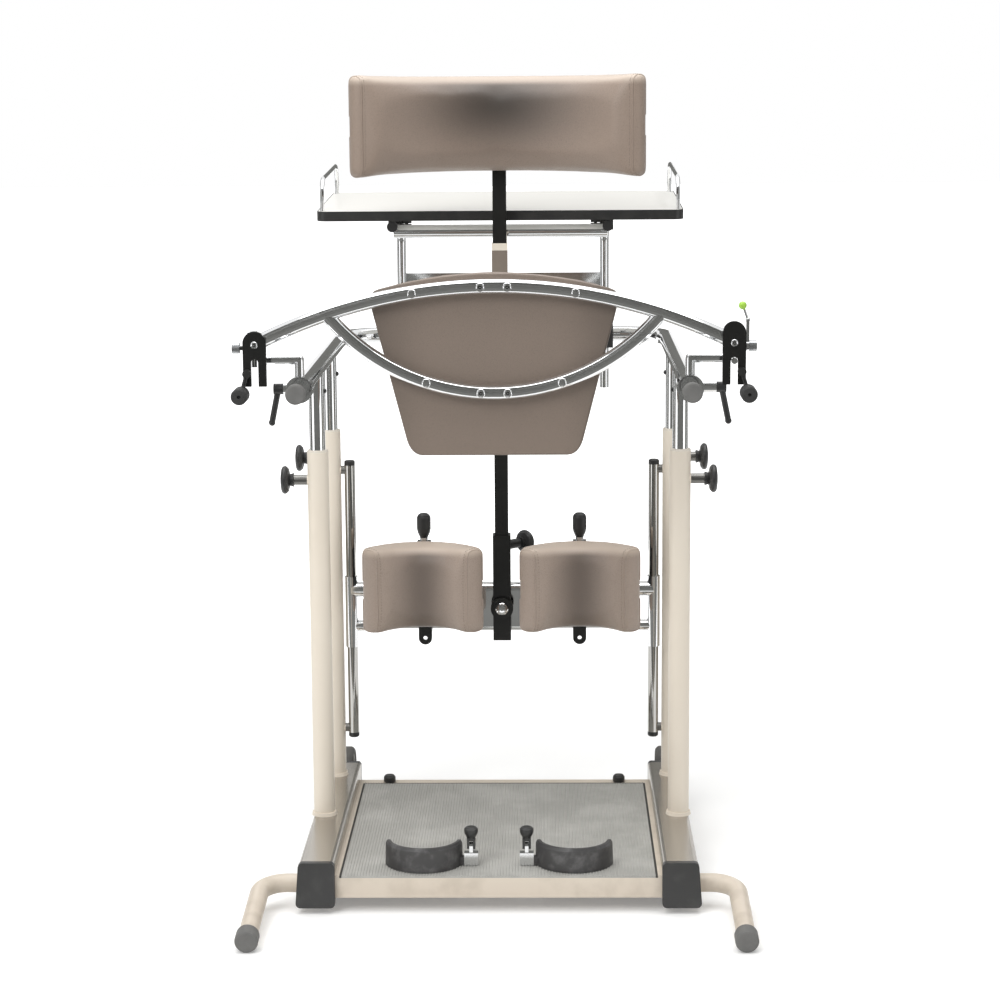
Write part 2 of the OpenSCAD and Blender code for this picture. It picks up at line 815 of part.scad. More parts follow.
// A cam lever with a fat round grip, on a pin through the clamp
module heel_lever(side) {
  cheek = 4;
  inner = 3 + rest_gap;
  top = 34;
  fat = 12;
  color(black) on_side(side) translate([slot_x, heel_bolt, heel_pivot]) {
    along_x(5, -inner - bite, 2 * (inner + bite));
    for (x = [-inner - cheek, inner]) {
      along_x(13, x, cheek);
      translate([x, -6.5, 0]) cube([cheek, 13, 14]);
    }
    rotate_extrude() polygon([
      [0, 9], [6.5, 9], [7, 14], [fat - 1, top - 13], [fat, top - 9], [fat, top - 4], [fat - 3, top - 1],
      [fat - 6, top], [0, top]
    ]);
  }
}

module column_knob(side, y) {
  head_x = column_x + column_d / 2 + boss_len + rest_gap;
  stem_end = column_x + post_d / 2 + screw_gap;
  color(black) on_side(side) translate([head_x, y, knob_z]) rotate([0, 90, 0])
    hand_knob(knob_d, knob_h, stem_d, head_x - stem_end);
}

// Upper frame that rises out of the columns

module handrail() {
  near = heel_y - hand_near;
  x = column_x;
  route = [[-x, near, hand_z], [-x, bow_y, hand_z], [x, bow_y, hand_z], [x, near, hand_z]];
  foot = column_top - post_in;
  color(chrome) {
    bent_tube(route, hand_bend, hand_d, tube_wall);
    both_sides() for (y = [near_y, far_y]) difference() {
      translate([x, y, foot]) cylinder(d = post_d, h = hand_z - foot);
      translate([x, y, foot - bite]) cylinder(d = post_d - 2 * tube_wall, h = hand_z - foot);
      translate([x, 0, hand_z]) along_y(hand_d, y - hand_d, 2 * hand_d);
    }
  }
}

module handrail_caps() {
  r = hand_d / 2 + 1.5;
  color(grey) both_sides() translate([column_x, heel_y - hand_near, hand_z]) rotate([-90, 0, 0])
    rotate_extrude() polygon([
    [0, -3], [r - 3, -3], [r - 0.8, -2.2], [r, 0], [r, 12], [hand_d / 2, 12], [hand_d / 2, 0], [0, 0]
  ]);
}

module tray_leg_clamps() {
  near = arm_y - arm_d / 2 - 5;
  far = bow_y + hand_d / 2 + 5;
  color(black) both_sides() translate([arm_x, 0, hand_z]) difference() {
    translate([-leg_clamp_w / 2, near, -clamp_block / 2]) cube([leg_clamp_w, far - near, clamp_block]);
    translate([0, bow_y, 0]) along_x(hand_d, -leg_clamp_w, 2 * leg_clamp_w);
    translate([0, arm_y, -clamp_block]) cylinder(d = arm_d + 2 * turn_gap, h = 2 * clamp_block);
    translate([0, arm_y, 0]) along_x(stem_d + 2 * turn_gap, -leg_clamp_w, leg_clamp_w);
  }
}

module tray_clamp_knob(side) {
  head_x = arm_x - leg_clamp_w / 2 - rest_gap;
  stem_end = arm_x - arm_d / 2 - screw_gap;
  color(black) on_side(side) translate([head_x, arm_y, hand_z]) rotate([0, -90, 0])
    hand_knob(leg_knob, knob_h, stem_d, stem_end - head_x);
}

// Legs bent into arms under the tray, the cross tube and flat brace between them, and the arms' end plugs
module tray_legs() {
  near = heel_y + arm_near;
  inner = arm_x - arm_d / 2;
  route = [[arm_x, arm_y, arm_low], [arm_x, arm_y, arm_z], [arm_x, near, arm_z]];
  color(chrome) {
    both_sides() {
      bent_tube(route, arm_bend, arm_d, tube_wall);
      translate([arm_x, near, arm_z]) along_y(arm_d + 2, -4, 4);
    }
    difference() {
      translate([0, cross_y, cross_z]) along_x(cross_d, -arm_x, 2 * arm_x);
      translate([0, cross_y, cross_z]) along_x(cross_d - 2 * tube_wall, -arm_x - bite, 2 * (arm_x + bite));
      both_sides() translate([arm_x, 0, arm_z]) along_y(arm_d, near, arm_y - near - arm_bend);
    }
    translate([-inner, arm_y - 3, arm_z - arm_bend - brace_drop]) cube([2 * inner, 6, brace_h]);
  }
}

module mast_guide() {
  wall = 1.6;
  inside = mast_w + 2 * slide_gap;
  w = inside + 2 * wall;
  low = arm_z - 98;
  high = arm_z - 28;
  plate = 6;
  back = mast_y + w / 2;
  color(beige) difference() {
    union() {
      translate([0, mast_y, low]) block(w, w, high - low);
      translate([-12, back - bite, high - plate]) cube([24, cross_y + 10 - back + bite, plate]);
      translate([-12, cross_y - 10, high - plate]) cube([24, 20, cross_z - high + plate]);
    }
    translate([0, mast_y, low - bite]) block(inside, inside, high - low + 2 * bite);
    translate([0, cross_y, cross_z]) along_x(cross_d, -arm_x, 2 * arm_x);
  }
}

// A flat rectangle with round corners
module round_rect(w, d, r) {
  translate([-w / 2 + r, -d / 2]) square([w - 2 * r, d]);
  translate([-w / 2, -d / 2 + r]) square([w, d - 2 * r]);
  for (x = [-1, 1], y = [-1, 1]) translate([x * (w / 2 - r), y * (d / 2 - r)]) circle(r = r);
}

// The tray's own frame: its near lower edge lies along X, and the tray then tilts up about it
module tilted_tray() {
  translate([0, heel_y + tray_near, tray_top - tray_t]) rotate([tray_tilt, 0, 0]) children();
}

module tray_board() {
  color("whitesmoke") tilted_tray() translate([0, tray_d / 2, 0]) linear_extrude(tray_t)
    round_rect(tray_w - 2 * band_t, tray_d - 2 * band_t, tray_r - band_t);
}

module tray_edge() {
  color(black) tilted_tray() translate([0, tray_d / 2, 0]) linear_extrude(tray_t) difference() {
    round_rect(tray_w, tray_d, tray_r);
    round_rect(tray_w - 2 * band_t, tray_d - 2 * band_t, tray_r - band_t);
  }
}

module tray_guards() {
  x = tray_w / 2 - band_t - guard_d;
  near = 14;
  far = tray_d - 30;
  high = tray_t + guard_h - guard_d / 2;
  color(chrome) both_sides() tilted_tray()
    bent_bar([[x, near, tray_t], [x, near, high], [x, far, high], [x, far, tray_t]], guard_bend, guard_d);
}

// Blocks that slide on the arms: each is split on its inner side and pinched by a screw from below
module tray_runners() {
  low = arm_z - arm_d / 2 - 3;
  high = tray_top - tray_t + (runner_y + runner_len - heel_y - tray_near) * tan(tray_tilt) + bite;
  mid = runner_y + runner_len / 2;
  slit = 2;
  color(black) both_sides() difference() {
    union() {
      translate([arm_x - runner_w / 2, runner_y, low]) cube([runner_w, runner_len, high - low]);
      translate([pinch_x - pinch_w / 2, mid - pinch_w / 2, arm_z - arm_d / 2])
        cube([pinch_w + bite, pinch_w, arm_d]);
    }
    tilted_tray() cube([tray_w, tray_d, tray_t]);
    translate([arm_x, 0, arm_z]) along_y(arm_d + 2 * turn_gap, runner_y - bite, runner_len + 2 * bite);
    translate([pinch_x - pinch_w, runner_y - bite, arm_z - slit / 2])
      cube([arm_x - pinch_x + pinch_w, runner_len + 2 * bite, slit]);
    translate([pinch_x, mid, low - bite]) cylinder(d = pin_d + 2 * turn_gap, h = arm_d + 4);
  }
}

module tray_knob(side) {
  head_z = arm_z - arm_d / 2 - rest_gap;
  color(black) on_side(side) translate([pinch_x, runner_y + runner_len / 2, head_z]) rotate([180, 0, 0])
    hand_knob(pinch_knob, pinch_knob, pin_d, arm_d - 2);
}

// Knee supports that slide on the guide rods

module knee_bars() {
  reach = guide_x - slider_d / 2;
  color(chrome) difference() {
    union() {
      translate([0, knee_bar_y, bar_z]) along_x(bar_d, -reach, 2 * reach);
      translate([0, knee_bar_y, low_bar_z]) along_x(low_bar_d, -reach, 2 * reach);
    }
    translate([0, knee_bar_y, bar_z]) along_x(bar_d - 2 * tube_wall, -guide_x, 2 * guide_x);
  }
}

// Sliders at the bars' ends, and in the middle the bracket that carries the mast's sleeve
module knee_brackets() {
  socket = 36;
  low_hub = low_bar_d + 8;
  seat = guide_x - slider_d / 2;
  low = low_bar_z - 40;
  high = bar_z + 26;
  half = 42;
  color(silver) {
    both_sides() difference() {
      union() {
        translate([guide_x, knee_bar_y, low]) cylinder(d = slider_d, h = high - low);
        translate([0, knee_bar_y, bar_z]) along_x(hub_d, guide_x - socket, socket);
        translate([0, knee_bar_y, low_bar_z]) along_x(low_hub, guide_x - socket, socket);
      }
      translate([guide_x, knee_bar_y, low - bite])
        cylinder(d = guide_d + 2 * turn_gap, h = high - low + 2 * bite);
      translate([0, knee_bar_y, bar_z]) along_x(bar_d, 0, seat);
      translate([0, knee_bar_y, low_bar_z]) along_x(low_bar_d, 0, seat);
    }
    translate([0, knee_bar_y, 0]) difference() {
      union() {
        translate([0, 0, bar_z]) along_x(hub_d, -half, 2 * half);
        translate([0, 0, low_bar_z]) along_x(low_hub, -half, 2 * half);
        translate([-half, -hub_d / 2, low_bar_z]) cube([2 * half, hub_d / 2 - low_hub / 2 + 3, bar_drop]);
      }
      translate([0, 0, bar_z]) along_x(bar_d, -half - bite, 2 * half + 2 * bite);
      translate([0, 0, low_bar_z]) along_x(low_bar_d, -half - bite, 2 * half + 2 * bite);
    }
    translate([0, mast_y - sleeve_w / 2 - disc_t, disc_z]) button_screw(24, disc_bolt, disc_t - 2);
  }
}

// The mast's clamping screw presses on a corner of the mast, so it points half to the right, half ahead
module screw_frame() {
  translate([0, mast_y, mast_screw]) rotate([0, 0, 45]) children();
}

module mast_sleeve() {
  inside = mast_w + 2 * slide_gap;
  front = mast_y - sleeve_w / 2 - disc_t;
  color(black) difference() {
    union() {
      translate([0, mast_y, sleeve_low]) block(sleeve_w, sleeve_w, sleeve_len);
      translate([0, 0, disc_z]) along_y(disc_d, front, 3 * disc_t);
      screw_frame() along_x(boss_d, 0, mast_screw_end);
    }
    translate([0, mast_y, sleeve_low - bite]) block(inside, inside, sleeve_len + 2 * bite);
    screw_frame() along_x(stem_d + 2 * turn_gap, 0, mast_screw_end + bite);
    translate([0, 0, disc_z]) along_y(disc_bolt, front - bite, disc_t - 2 + bite);
  }
}

module mast_knob() {
  head = mast_screw_end + rest_gap;
  stem_end = mast_w / sqrt(2) + screw_gap;
  color(black) screw_frame() translate([head, 0, 0]) rotate([0, 90, 0])
    hand_knob(mast_knob_d, knob_h, stem_d, head - stem_end);
}

// A block on both knee bars, the flat strap in front of it and the curved shell behind the pad
module knee_carrier(side) {
  strap_y = knee_bar_y - carrier_d / 2 - strap_t;
  strap_low = low_bar_z - 20;
  strap_high = pin_z + lug_t;
  guide_w = low_bar_d + 8;
  color(black) on_side(side) translate([knee_x, 0, 0]) difference() {
    union() {
      translate([0, knee_bar_y, bar_z]) along_x(carrier_d, -carrier_w / 2, carrier_w);
      translate([-strap_w / 2, strap_y, strap_low]) cube([strap_w, strap_t + bite, strap_high - strap_low]);
      translate([-strap_w / 2, strap_y, bar_z - carrier_d / 2])
        cube([strap_w, carrier_d / 2 + strap_t, carrier_d]);
      translate([0, strap_y, low_bar_z]) translate([-strap_w / 2, 0, -guide_w / 2])
        cube([strap_w, carrier_d / 2 + strap_t, guide_w]);
      translate([0, knee_bar_y, low_bar_z]) along_x(guide_w, -strap_w / 2, strap_w);
      translate([-strap_w / 2, strap_y - 20, pin_z]) cube([strap_w, 20 + bite, lug_t]);
      translate([0, 0, strap_low]) along_y(strap_w, strap_y, strap_t);
      translate([-strap_w / 2, strap_y - spacer - shell_t / 2, knee_z - shell_h / 2])
        cube([strap_w, spacer + shell_t / 2 + bite, shell_h]);
      translate([0, knee_mid, knee_z]) shell(knee_r + rest_gap, shell_t, shell_h, 42);
    }
    translate([0, knee_bar_y, bar_z]) along_x(bar_d + 2 * turn_gap, -carrier_w, 2 * carrier_w);
    translate([0, knee_bar_y, low_bar_z]) along_x(low_bar_d + 2 * turn_gap, -carrier_w, 2 * carrier_w);
    translate([0, pin_y, pin_z - bite]) cylinder(d = pin_d + 2 * turn_gap, h = lug_t + 2 * bite);
    translate([0, 0, strap_low]) along_y(8, strap_y - bite, strap_t + 2 * bite);
  }
}

module knee_pad(side) {
  color(taupe) on_side(side) translate([knee_x, knee_mid, knee_z])
    wrapped_cushion(pad_outline(knee_w, knee_h, knee_corner, knee_corner, 10), knee_t, knee_r);
}

// A pull pin that drops through the carrier's lug, with a grip that swells towards its top
module knee_pin(side) {
  top = lug_t + rest_gap;
  color(black) on_side(side) translate([knee_x, pin_y, pin_z]) rotate_extrude() polygon([
    [0, -2], [pin_d / 2, -2], [pin_d / 2, top], [7.5, top], [7.5, top + 8], [11.5, top + 17],
    [13, top + 24], [13, top + 45], [11, top + 50], [7, top + 53], [0, top + 54]
  ]);
}

// Mast with the chest pad

module mast() {
  low = sleeve_low + 15;
  color(black) translate([0, mast_y, low]) difference() {
    block(mast_w, mast_w, mast_top - low);
    translate([0, 0, -bite]) block(mast_w - 2 * mast_wall, mast_w - 2 * mast_wall, mast_top - low - 3);
  }
}

module chest_board() {
  plate_w = 80;
  plate_h = 56;
  front = mast_y - mast_w / 2 - chest_plate;
  color(black) {
    translate([0, chest_mid, chest_z]) shell(chest_r + rest_gap, chest_shell, chest_h - 30, 40);
    translate([-plate_w / 2, front - 4, mast_top - plate_h]) cube([plate_w, chest_plate + 4, plate_h]);
  }
}

module chest_pad() {
  outline = [
    for (p = pad_outline(chest_w, chest_h, chest_corner, chest_corner, 18))
      [p.x, p.y + sign(p.y) * chest_flare / 2 * pow(p.x / (chest_w / 2), 2)]
  ];
  color(taupe) translate([0, chest_mid, chest_z]) wrapped_cushion(outline, chest_t, chest_r);
}

// Hip gate behind the person

module gate_carriage(side) {
  outer = side < 0 ? hinge_x : plate_x;
  color(chrome) on_side(side) difference() {
    union() {
      translate([column_x, 0, hand_z]) along_y(collar_d, hinge_y - collar_len / 2, collar_len);
      translate([0, hinge_y, hand_z]) along_x(boss_d, column_x, clamp_out(side));
      translate([column_x, hinge_y, hand_z]) cylinder(d = reach_d, h = reach_z - hand_z);
      translate([0, hinge_y, reach_z]) along_x(reach_d, column_x, outer - column_x);
      translate([column_x, hinge_y, reach_z]) sphere(d = reach_d);
      if (side < 0) {
        translate([hinge_x, hinge_y, reach_z - seat_h / 2]) cylinder(d = barrel_d, h = seat_h);
        translate([hinge_x, hinge_y, reach_z]) cylinder(d = hinge_d, h = hinge_plate_high - reach_z - 3);
      } else {
        translate([plate_x, 0, reach_z]) along_y(catch_d, plate_front - 5, hinge_y - plate_front + 5);
        translate([plate_x, hinge_y, reach_z]) sphere(d = reach_d);
      }
    }
    translate([column_x, 0, hand_z]) along_y(hand_d + 2 * turn_gap, hinge_y - collar_len, 2 * collar_len);
    translate([0, hinge_y, hand_z]) along_x(stem_d + 2 * turn_gap, column_x, clamp_out(side) + bite);
  }
}

// An upright arc in X and Z round a middle height, half the angle to each side of the middle direction
module gate_arc(middle, r, direction, half, d, hole) {
  translate([0, gate_y, middle]) rotate([90, 0, 0]) rotate([0, 0, direction - half])
    rotate_extrude(angle = 2 * half, $fn = 128) translate([r, 0]) difference() {
      circle(d = d);
      if (hole > 0) circle(d = hole);
    }
}

// One place per screw along the bars: on both sides at each x
module at_bar_screws() {
  both_sides() {
    for (x = upper_bolts) translate([x, 0, upper_z(x)]) children();
    for (x = lower_bolts) translate([x, 0, lower_z(x)]) children();
  }
}

module gate_bars() {
  hole = gate_d - 2 * tube_wall;
  upper_half = asin(gate_end / gate_r);
  lower_half = asin(gate_join / low_r);
  color(chrome) {
    difference() {
      gate_arc(gate_mid, gate_r, 90, upper_half, gate_d, hole);
      both_sides() {
        for (x = upper_bolts) translate([x, 0, upper_z(x)]) along_y(bolt_d, gate_y - gate_d, 2 * gate_d);
        translate([plate_x, 0, upper_z(plate_x)]) along_y(bolt_d, gate_y - gate_d, gate_d);
      }
    }
    difference() {
      gate_arc(low_mid, low_r, 270, lower_half, gate_d - 1, hole - 1);
      gate_arc(gate_mid, gate_r, 90, upper_half, gate_d, 0);
      both_sides() for (x = lower_bolts)
        translate([x, 0, lower_z(x)]) along_y(bolt_d, gate_y - gate_d, 2 * gate_d);
    }
  }
}

module gate_bolts() {
  color(chrome) {
    at_bar_screws() translate([0, gate_y - gate_d / 2, 0]) button_screw(15, bolt_d, gate_d + board_t - 2);
    both_sides() translate([plate_x, plate_front, upper_z(plate_x)])
      button_screw(12, bolt_d, plate_t + tube_wall);
  }
}

// Outline of the hip pad from a rectangle: narrower at the foot, arched at the top
function hip_outline(inset) =
  let (h = hip_high - hip_low)
  [
    for (p = pad_outline(hip_top_w - 2 * inset, h - 2 * inset, hip_shoulder, hip_foot, 14))
      let (up = p.y / h + 0.5)
      let (across = p.x / (hip_top_w / 2))
      [p.x * (hip_low_w / hip_top_w * (1 - up) + up), p.y + hip_arch * up * up * (1 - across * across)]
  ];

module gate_board() {
  color(taupe) difference() {
    translate([0, 0, hip_mid]) upright(gate_y + gate_d / 2, board_t) polygon(hip_outline(6));
    at_bar_screws() along_y(bolt_d, gate_y, gate_d / 2 + board_t - 2);
  }
}

module gate_pad() {
  outline = hip_outline(0);
  back = gate_y + gate_d / 2 + board_t;
  color(taupe) translate([0, back, hip_mid]) polyhedron(
    cushion_points(outline, hip_t),
    [for (f = cushion_faces(len(outline))) [f[2], f[1], f[0]]]
  );
}

// A plate with a round top and a forked foot, and the latch's nut at its outer edge
module gate_plate(high) {
  r = plate_w / 2;
  fork = catch_d + 2;
  difference() {
    union() {
      translate([plate_x, 0, 0]) upright(plate_front, plate_t) {
        translate([-r, plate_low]) square([plate_w, high - plate_low - r]);
        translate([0, high - r]) circle(r = r);
      }
      translate([0, plate_front + plate_t / 2, latch_z]) {
        along_x(latch_pin, latch_x - 6, 20);
        along_x(18, nut_x, 12);
      }
    }
    translate([plate_x, 0, 0]) upright(plate_front - 6, plate_t + 12) {
      translate([-fork / 2, plate_low - bite]) square([fork, reach_z - plate_low + bite]);
      translate([0, reach_z]) circle(d = fork);
    }
    translate([plate_x, 0, upper_z(plate_x)]) along_y(bolt_d, plate_front - bite, plate_t + 2 * bite);
    translate([pivot_x, 0, pivot_z]) along_y(bolt_d + 2 * turn_gap, plate_front - bite, plate_t + 2 * bite);
  }
}

// The two plates, and the hinge barrel that is welded to the upper bar
module gate_plates() {
  low = reach_z + seat_h / 2 + rest_gap;
  lug_z = upper_z(hinge_x);
  color(black) {
    difference() {
      union() {
        on_side(-1) gate_plate(hinge_plate_high);
        on_side(1) gate_plate(plate_high);
      }
      gate_arc(gate_mid, gate_r, 90, asin(gate_end / gate_r), gate_d, 0);
    }
    difference() {
      union() {
        translate([-hinge_x, hinge_y, low]) cylinder(d = barrel_d, h = hinge_plate_high - 6 - low);
        translate([-hinge_x - 5, gate_y, lug_z - 7]) cube([10, hinge_y - gate_y, 14]);
      }
      translate([-hinge_x, hinge_y, low - bite]) cylinder(d = hinge_d + 2 * turn_gap, h = plate_high);
      gate_arc(gate_mid, gate_r, 90, asin(gate_end / gate_r), gate_d, 0);
    }
  }
}

// Release lever on the right plate: a flat bar between the plate's edge and its nut, with a ball on top
module latch_lever() {
  x = latch_x + rest_gap;
  y = plate_front + plate_t / 2;
  bar_w = 10;
  bar_len = 42;
  rod_len = 25;
  lean = 20;
  color([0.62, 0.78, 0.25]) {
    difference() {
      union() {
        translate([0, y, latch_z]) along_x(16, x, latch_hub);
        translate([x, y - bar_w / 2, latch_z]) cube([latch_hub, bar_w, bar_len]);
      }
      translate([0, y, latch_z]) along_x(latch_pin + 2 * turn_gap, latch_x, 2 * latch_hub);
    }
    translate([x + latch_hub / 2, y, latch_z + bar_len]) rotate([0, -lean, 0]) {
      sphere(d = 8);
      cylinder(d = 4, h = rod_len);
      translate([0, 0, rod_len]) sphere(d = 13);
    }
  }
}

// A short rod that ends in a round rubber grip, pivoted on the plate's forked foot
module grip_lever(side) {
  y = plate_front - rest_gap;
  r = grip_d / 2;
  len = 34;
  hub_len = 12;
  grip = [pivot_x + 10, y - hub_len / 2, pivot_z - len];
  color(grey) on_side(side) {
    translate([pivot_x, 0, pivot_z]) along_y(bolt_d, y - bite, plate_t + bite);
    translate([pivot_x, 0, pivot_z]) along_y(14, y - hub_len, hub_len);
    rod([pivot_x, y - hub_len / 2, pivot_z], grip, 7);
    translate(grip) rotate([90, 0, 0]) rotate_extrude() polygon([
      [0, -4.5], [r - 2, -4.5], [r, -2.5], [r, len - 3], [r - 1, len - 1], [r - 3, len], [3, len],
      [2.5, len - 4], [0, len - 4]
    ]);
  }
}

// Clamping lever that locks a carriage to the handrail
module rail_clamp(side) {
  head_x = column_x + clamp_out(side) + rest_gap;
  stem_end = column_x + hand_d / 2 + screw_gap;
  tip = [head_x + 20, hinge_y, hand_z - 56];
  color(black) on_side(side) {
    translate([0, hinge_y, hand_z]) along_x(stem_d, stem_end, head_x - stem_end + bite);
    translate([0, hinge_y, hand_z]) along_x(18, head_x, 16);
    rod([head_x + 9, hinge_y, hand_z - 3], tip, 10);
    translate(tip) sphere(d = 11);
  }
}

side_rails();
rail_end_caps();
foot_pan();
foot_mat();
stabiliser_legs();
leg_tips();
columns();
column_bushes();
guide_rods();
wheel_forks();
wheel(-1);  // wheel_left
wheel(1);  // wheel_right
levelling_foot(-1);  // levelling_foot_left
levelling_foot(1);  // levelling_foot_right
heel_cup(-1);  // heel_cup_left
heel_cup(1);  // heel_cup_right
heel_lever(-1);  // heel_lever_left
heel_lever(1);  // heel_lever_right
column_knob(-1, near_y);  // column_knob_near_left
column_knob(1, near_y);  // column_knob_near_right
column_knob(-1, far_y);  // column_knob_far_left
column_knob(1, far_y);  // column_knob_far_right
handrail();
handrail_caps();
tray_leg_clamps();
tray_clamp_knob(-1);  // tray_clamp_knob_left
tray_clamp_knob(1);  // tray_clamp_knob_right
tray_legs();
mast_guide();
tray_board();
tray_edge();
tray_guards();
tray_runners();
tray_knob(-1);  // tray_knob_left
tray_knob(1);  // tray_knob_right
knee_bars();
knee_brackets();
mast_sleeve();
mast_knob();
knee_carrier(-1);  // knee_carrier_left
knee_carrier(1);  // knee_carrier_right
knee_pad(-1);  // knee_pad_left
knee_pad(1);  // knee_pad_right
knee_pin(-1);  // knee_pin_left
knee_pin(1);  // knee_pin_right
mast();
chest_board();
chest_pad();
gate_carriage(-1);  // gate_carriage_left
gate_carriage(1);  // gate_carriage_right
gate_bars();
gate_bolts();
gate_board();
gate_pad();
gate_plates();
latch_lever();
grip_lever(-1);  // grip_lever_left
grip_lever(1);  // grip_lever_right
rail_clamp(-1);  // rail_clamp_left
rail_clamp(1);  // rail_clamp_right
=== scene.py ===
import math

import bmesh
import bpy
from mathutils import Color, Matrix, Vector
from mathutils.bvhtree import BVHTree


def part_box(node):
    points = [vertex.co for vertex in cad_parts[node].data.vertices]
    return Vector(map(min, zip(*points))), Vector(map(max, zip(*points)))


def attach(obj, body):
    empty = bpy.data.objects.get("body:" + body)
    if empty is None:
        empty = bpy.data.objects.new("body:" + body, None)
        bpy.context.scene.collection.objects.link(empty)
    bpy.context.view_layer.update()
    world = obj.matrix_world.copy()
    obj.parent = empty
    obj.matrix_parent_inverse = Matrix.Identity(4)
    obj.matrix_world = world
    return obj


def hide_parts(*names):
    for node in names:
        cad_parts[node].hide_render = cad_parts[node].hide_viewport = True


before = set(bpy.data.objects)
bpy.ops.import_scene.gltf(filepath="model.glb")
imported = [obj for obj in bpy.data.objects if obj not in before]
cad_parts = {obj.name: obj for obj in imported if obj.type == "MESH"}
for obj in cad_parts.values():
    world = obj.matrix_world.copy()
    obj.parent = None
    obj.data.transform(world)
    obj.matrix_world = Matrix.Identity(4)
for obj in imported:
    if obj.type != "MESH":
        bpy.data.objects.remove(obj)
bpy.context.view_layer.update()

# Footplate pan and stabiliser legs: welded sheet and tube, cleaned, then powder coated in a warm cream.
# The coat is slightly pebbled and cloudy, and darker and blotchy towards the floor.
low_dark_band = (0.02, 0.14)


def tint(red, green, blue):
    """A colour picked on the 0 to 255 scale, as the linear values that a shader takes."""
    picked = Color((red / 255, green / 255, blue / 255))
    return (*picked.from_srgb_to_scene_linear(), 1.0)


class Shade:
    """A socket in a node tree. Arithmetic on it adds Math nodes, and node() adds any other kind."""

    def __init__(self, tree, socket=None):
        self.tree = tree
        self.socket = socket

    def node(self, kind, settings=None, inputs=None, output=0):
        """One output of a new node, made with its settings first and then its inputs set or linked."""
        made = self.tree.nodes.new("ShaderNode" + kind)
        for name, value in (settings or {}).items():
            setattr(made, name, value)
        for name, value in (inputs or {}).items():
            if isinstance(value, Shade):
                self.tree.links.new(value.socket, made.inputs[name])
            else:
                made.inputs[name].default_value = value
        return Shade(self.tree, made.outputs[output] if made.outputs else None)

    def math(self, operation, first, second=0.0):
        return self.node("Math", {"operation": operation}, {0: first, 1: second})

    def __add__(self, other):
        return self.math("ADD", self, other)

    __radd__ = __add__

    def __sub__(self, other):
        return self.math("SUBTRACT", self, other)

    def __rsub__(self, other):
        return self.math("SUBTRACT", other, self)

    def __mul__(self, other):
        return self.math("MULTIPLY", self, other)

    __rmul__ = __mul__

    def __gt__(self, other):
        return self.math("GREATER_THAN", self, other)

    def __lt__(self, other):
        return self.math("LESS_THAN", self, other)

    def __or__(self, other):
        return self.math("MAXIMUM", self, other)

    def __abs__(self):
        return self.math("ABSOLUTE", self)

    def root(self):
        return self.math("SQRT", self)

    def noise(self, scale, detail=3.0):
        """Cloudy values around a half, finer for a larger scale."""
        inputs = {"Vector": self, "Scale": scale, "Detail": detail, "Roughness": 0.55}
        return self.node("TexNoise", None, inputs)

    def stretched(self, x, y, z):
        return self.node("VectorMath", {"operation": "MULTIPLY"}, {0: self, 1: (x, y, z)})

    def measured_from(self, point):
        return self.node("VectorMath", {"operation": "SUBTRACT"}, {0: self, 1: point})

    def part(self, axis):
        return self.node("SeparateXYZ", None, {"Vector": self}, axis)

    def eased(self, low, high):
        """0 below low and 1 above high, with a smooth step between them."""
        inputs = {"Value": self, "From Min": low, "From Max": high}
        return self.node("MapRange", {"interpolation_type": "SMOOTHSTEP"}, inputs)

    def blend(self, first, second):
        """The two colours mixed by this value."""
        factor, first_colour, second_colour, mixed_colour = 0, 6, 7, 2
        inputs = {factor: self, first_colour: first, second_colour: second}
        return self.node("Mix", {"data_type": "RGBA"}, inputs, mixed_colour)

    def relief(self, strength, depth):
        return self.node("Bump", None, {"Height": self, "Strength": strength, "Distance": depth})


def finish(name, looks, **fixed):
    """A material whose varying sockets come from looks(place), with place in object coordinates."""
    material = bpy.data.materials.new(name)
    material.use_nodes = True
    tree = material.node_tree
    tree.nodes.clear()
    start = Shade(tree)
    place = start.node("TexCoord", output="Object")
    shader = start.node("BsdfPrincipled", None, {**fixed, **looks(place)})
    start.node("OutputMaterial", None, {"Surface": shader})
    return material


def dress(material, *names):
    """Gives CAD nodes this material."""
    for name in names:
        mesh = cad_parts[name].data
        mesh.materials.clear()
        mesh.materials.append(material)


def cream_coat(place):
    pebbles = place.noise(900.0, 2.0)
    cloud = place.noise(7.0, 4.0)
    low = 1 - place.part("Z").eased(*low_dark_band)
    grime = low * place.noise(24.0, 5.0).eased(0.4, 0.75)
    clean = cloud.blend(tint(229, 218, 202), tint(238, 229, 214))
    darker_low = (low * 0.7).blend(clean, tint(203, 190, 174))
    return {
        "Base Color": (grime * 0.35).blend(darker_low, tint(168, 156, 140)),
        "Roughness": 0.3 + cloud * 0.12 + grime * 0.15,
        "Normal": pebbles.relief(0.12, 0.0004),
    }


dress(finish("cream_paint", cream_coat), "foot_pan", "stabiliser_legs")

# Columns: cream tubes welded to the side rails, with a collar at the foot of each.
# Plated steel bosses outside take the clamping screws, and plated stubs inside carry the guide rods.
column_middle = 0.321
column_radius = 0.0192
collar_top = 0.15


def column_looks(place):
    coat = cream_coat(place)
    away = abs(abs(place.part("X")) - column_middle)
    bare = (away > column_radius) * (place.part("Z") > collar_top)
    coat["Base Color"] = bare.blend(coat["Base Color"], tint(128, 127, 124))
    coat["Metallic"] = bare * 0.9
    return coat


dress(finish("cream_column", column_looks), "columns")

# Side rails and wheel forks: bent sheet steel with a satin silver finish that mirrors the columns faintly.
# The rolling and brushing left fine lines along the length, with a few handling marks.


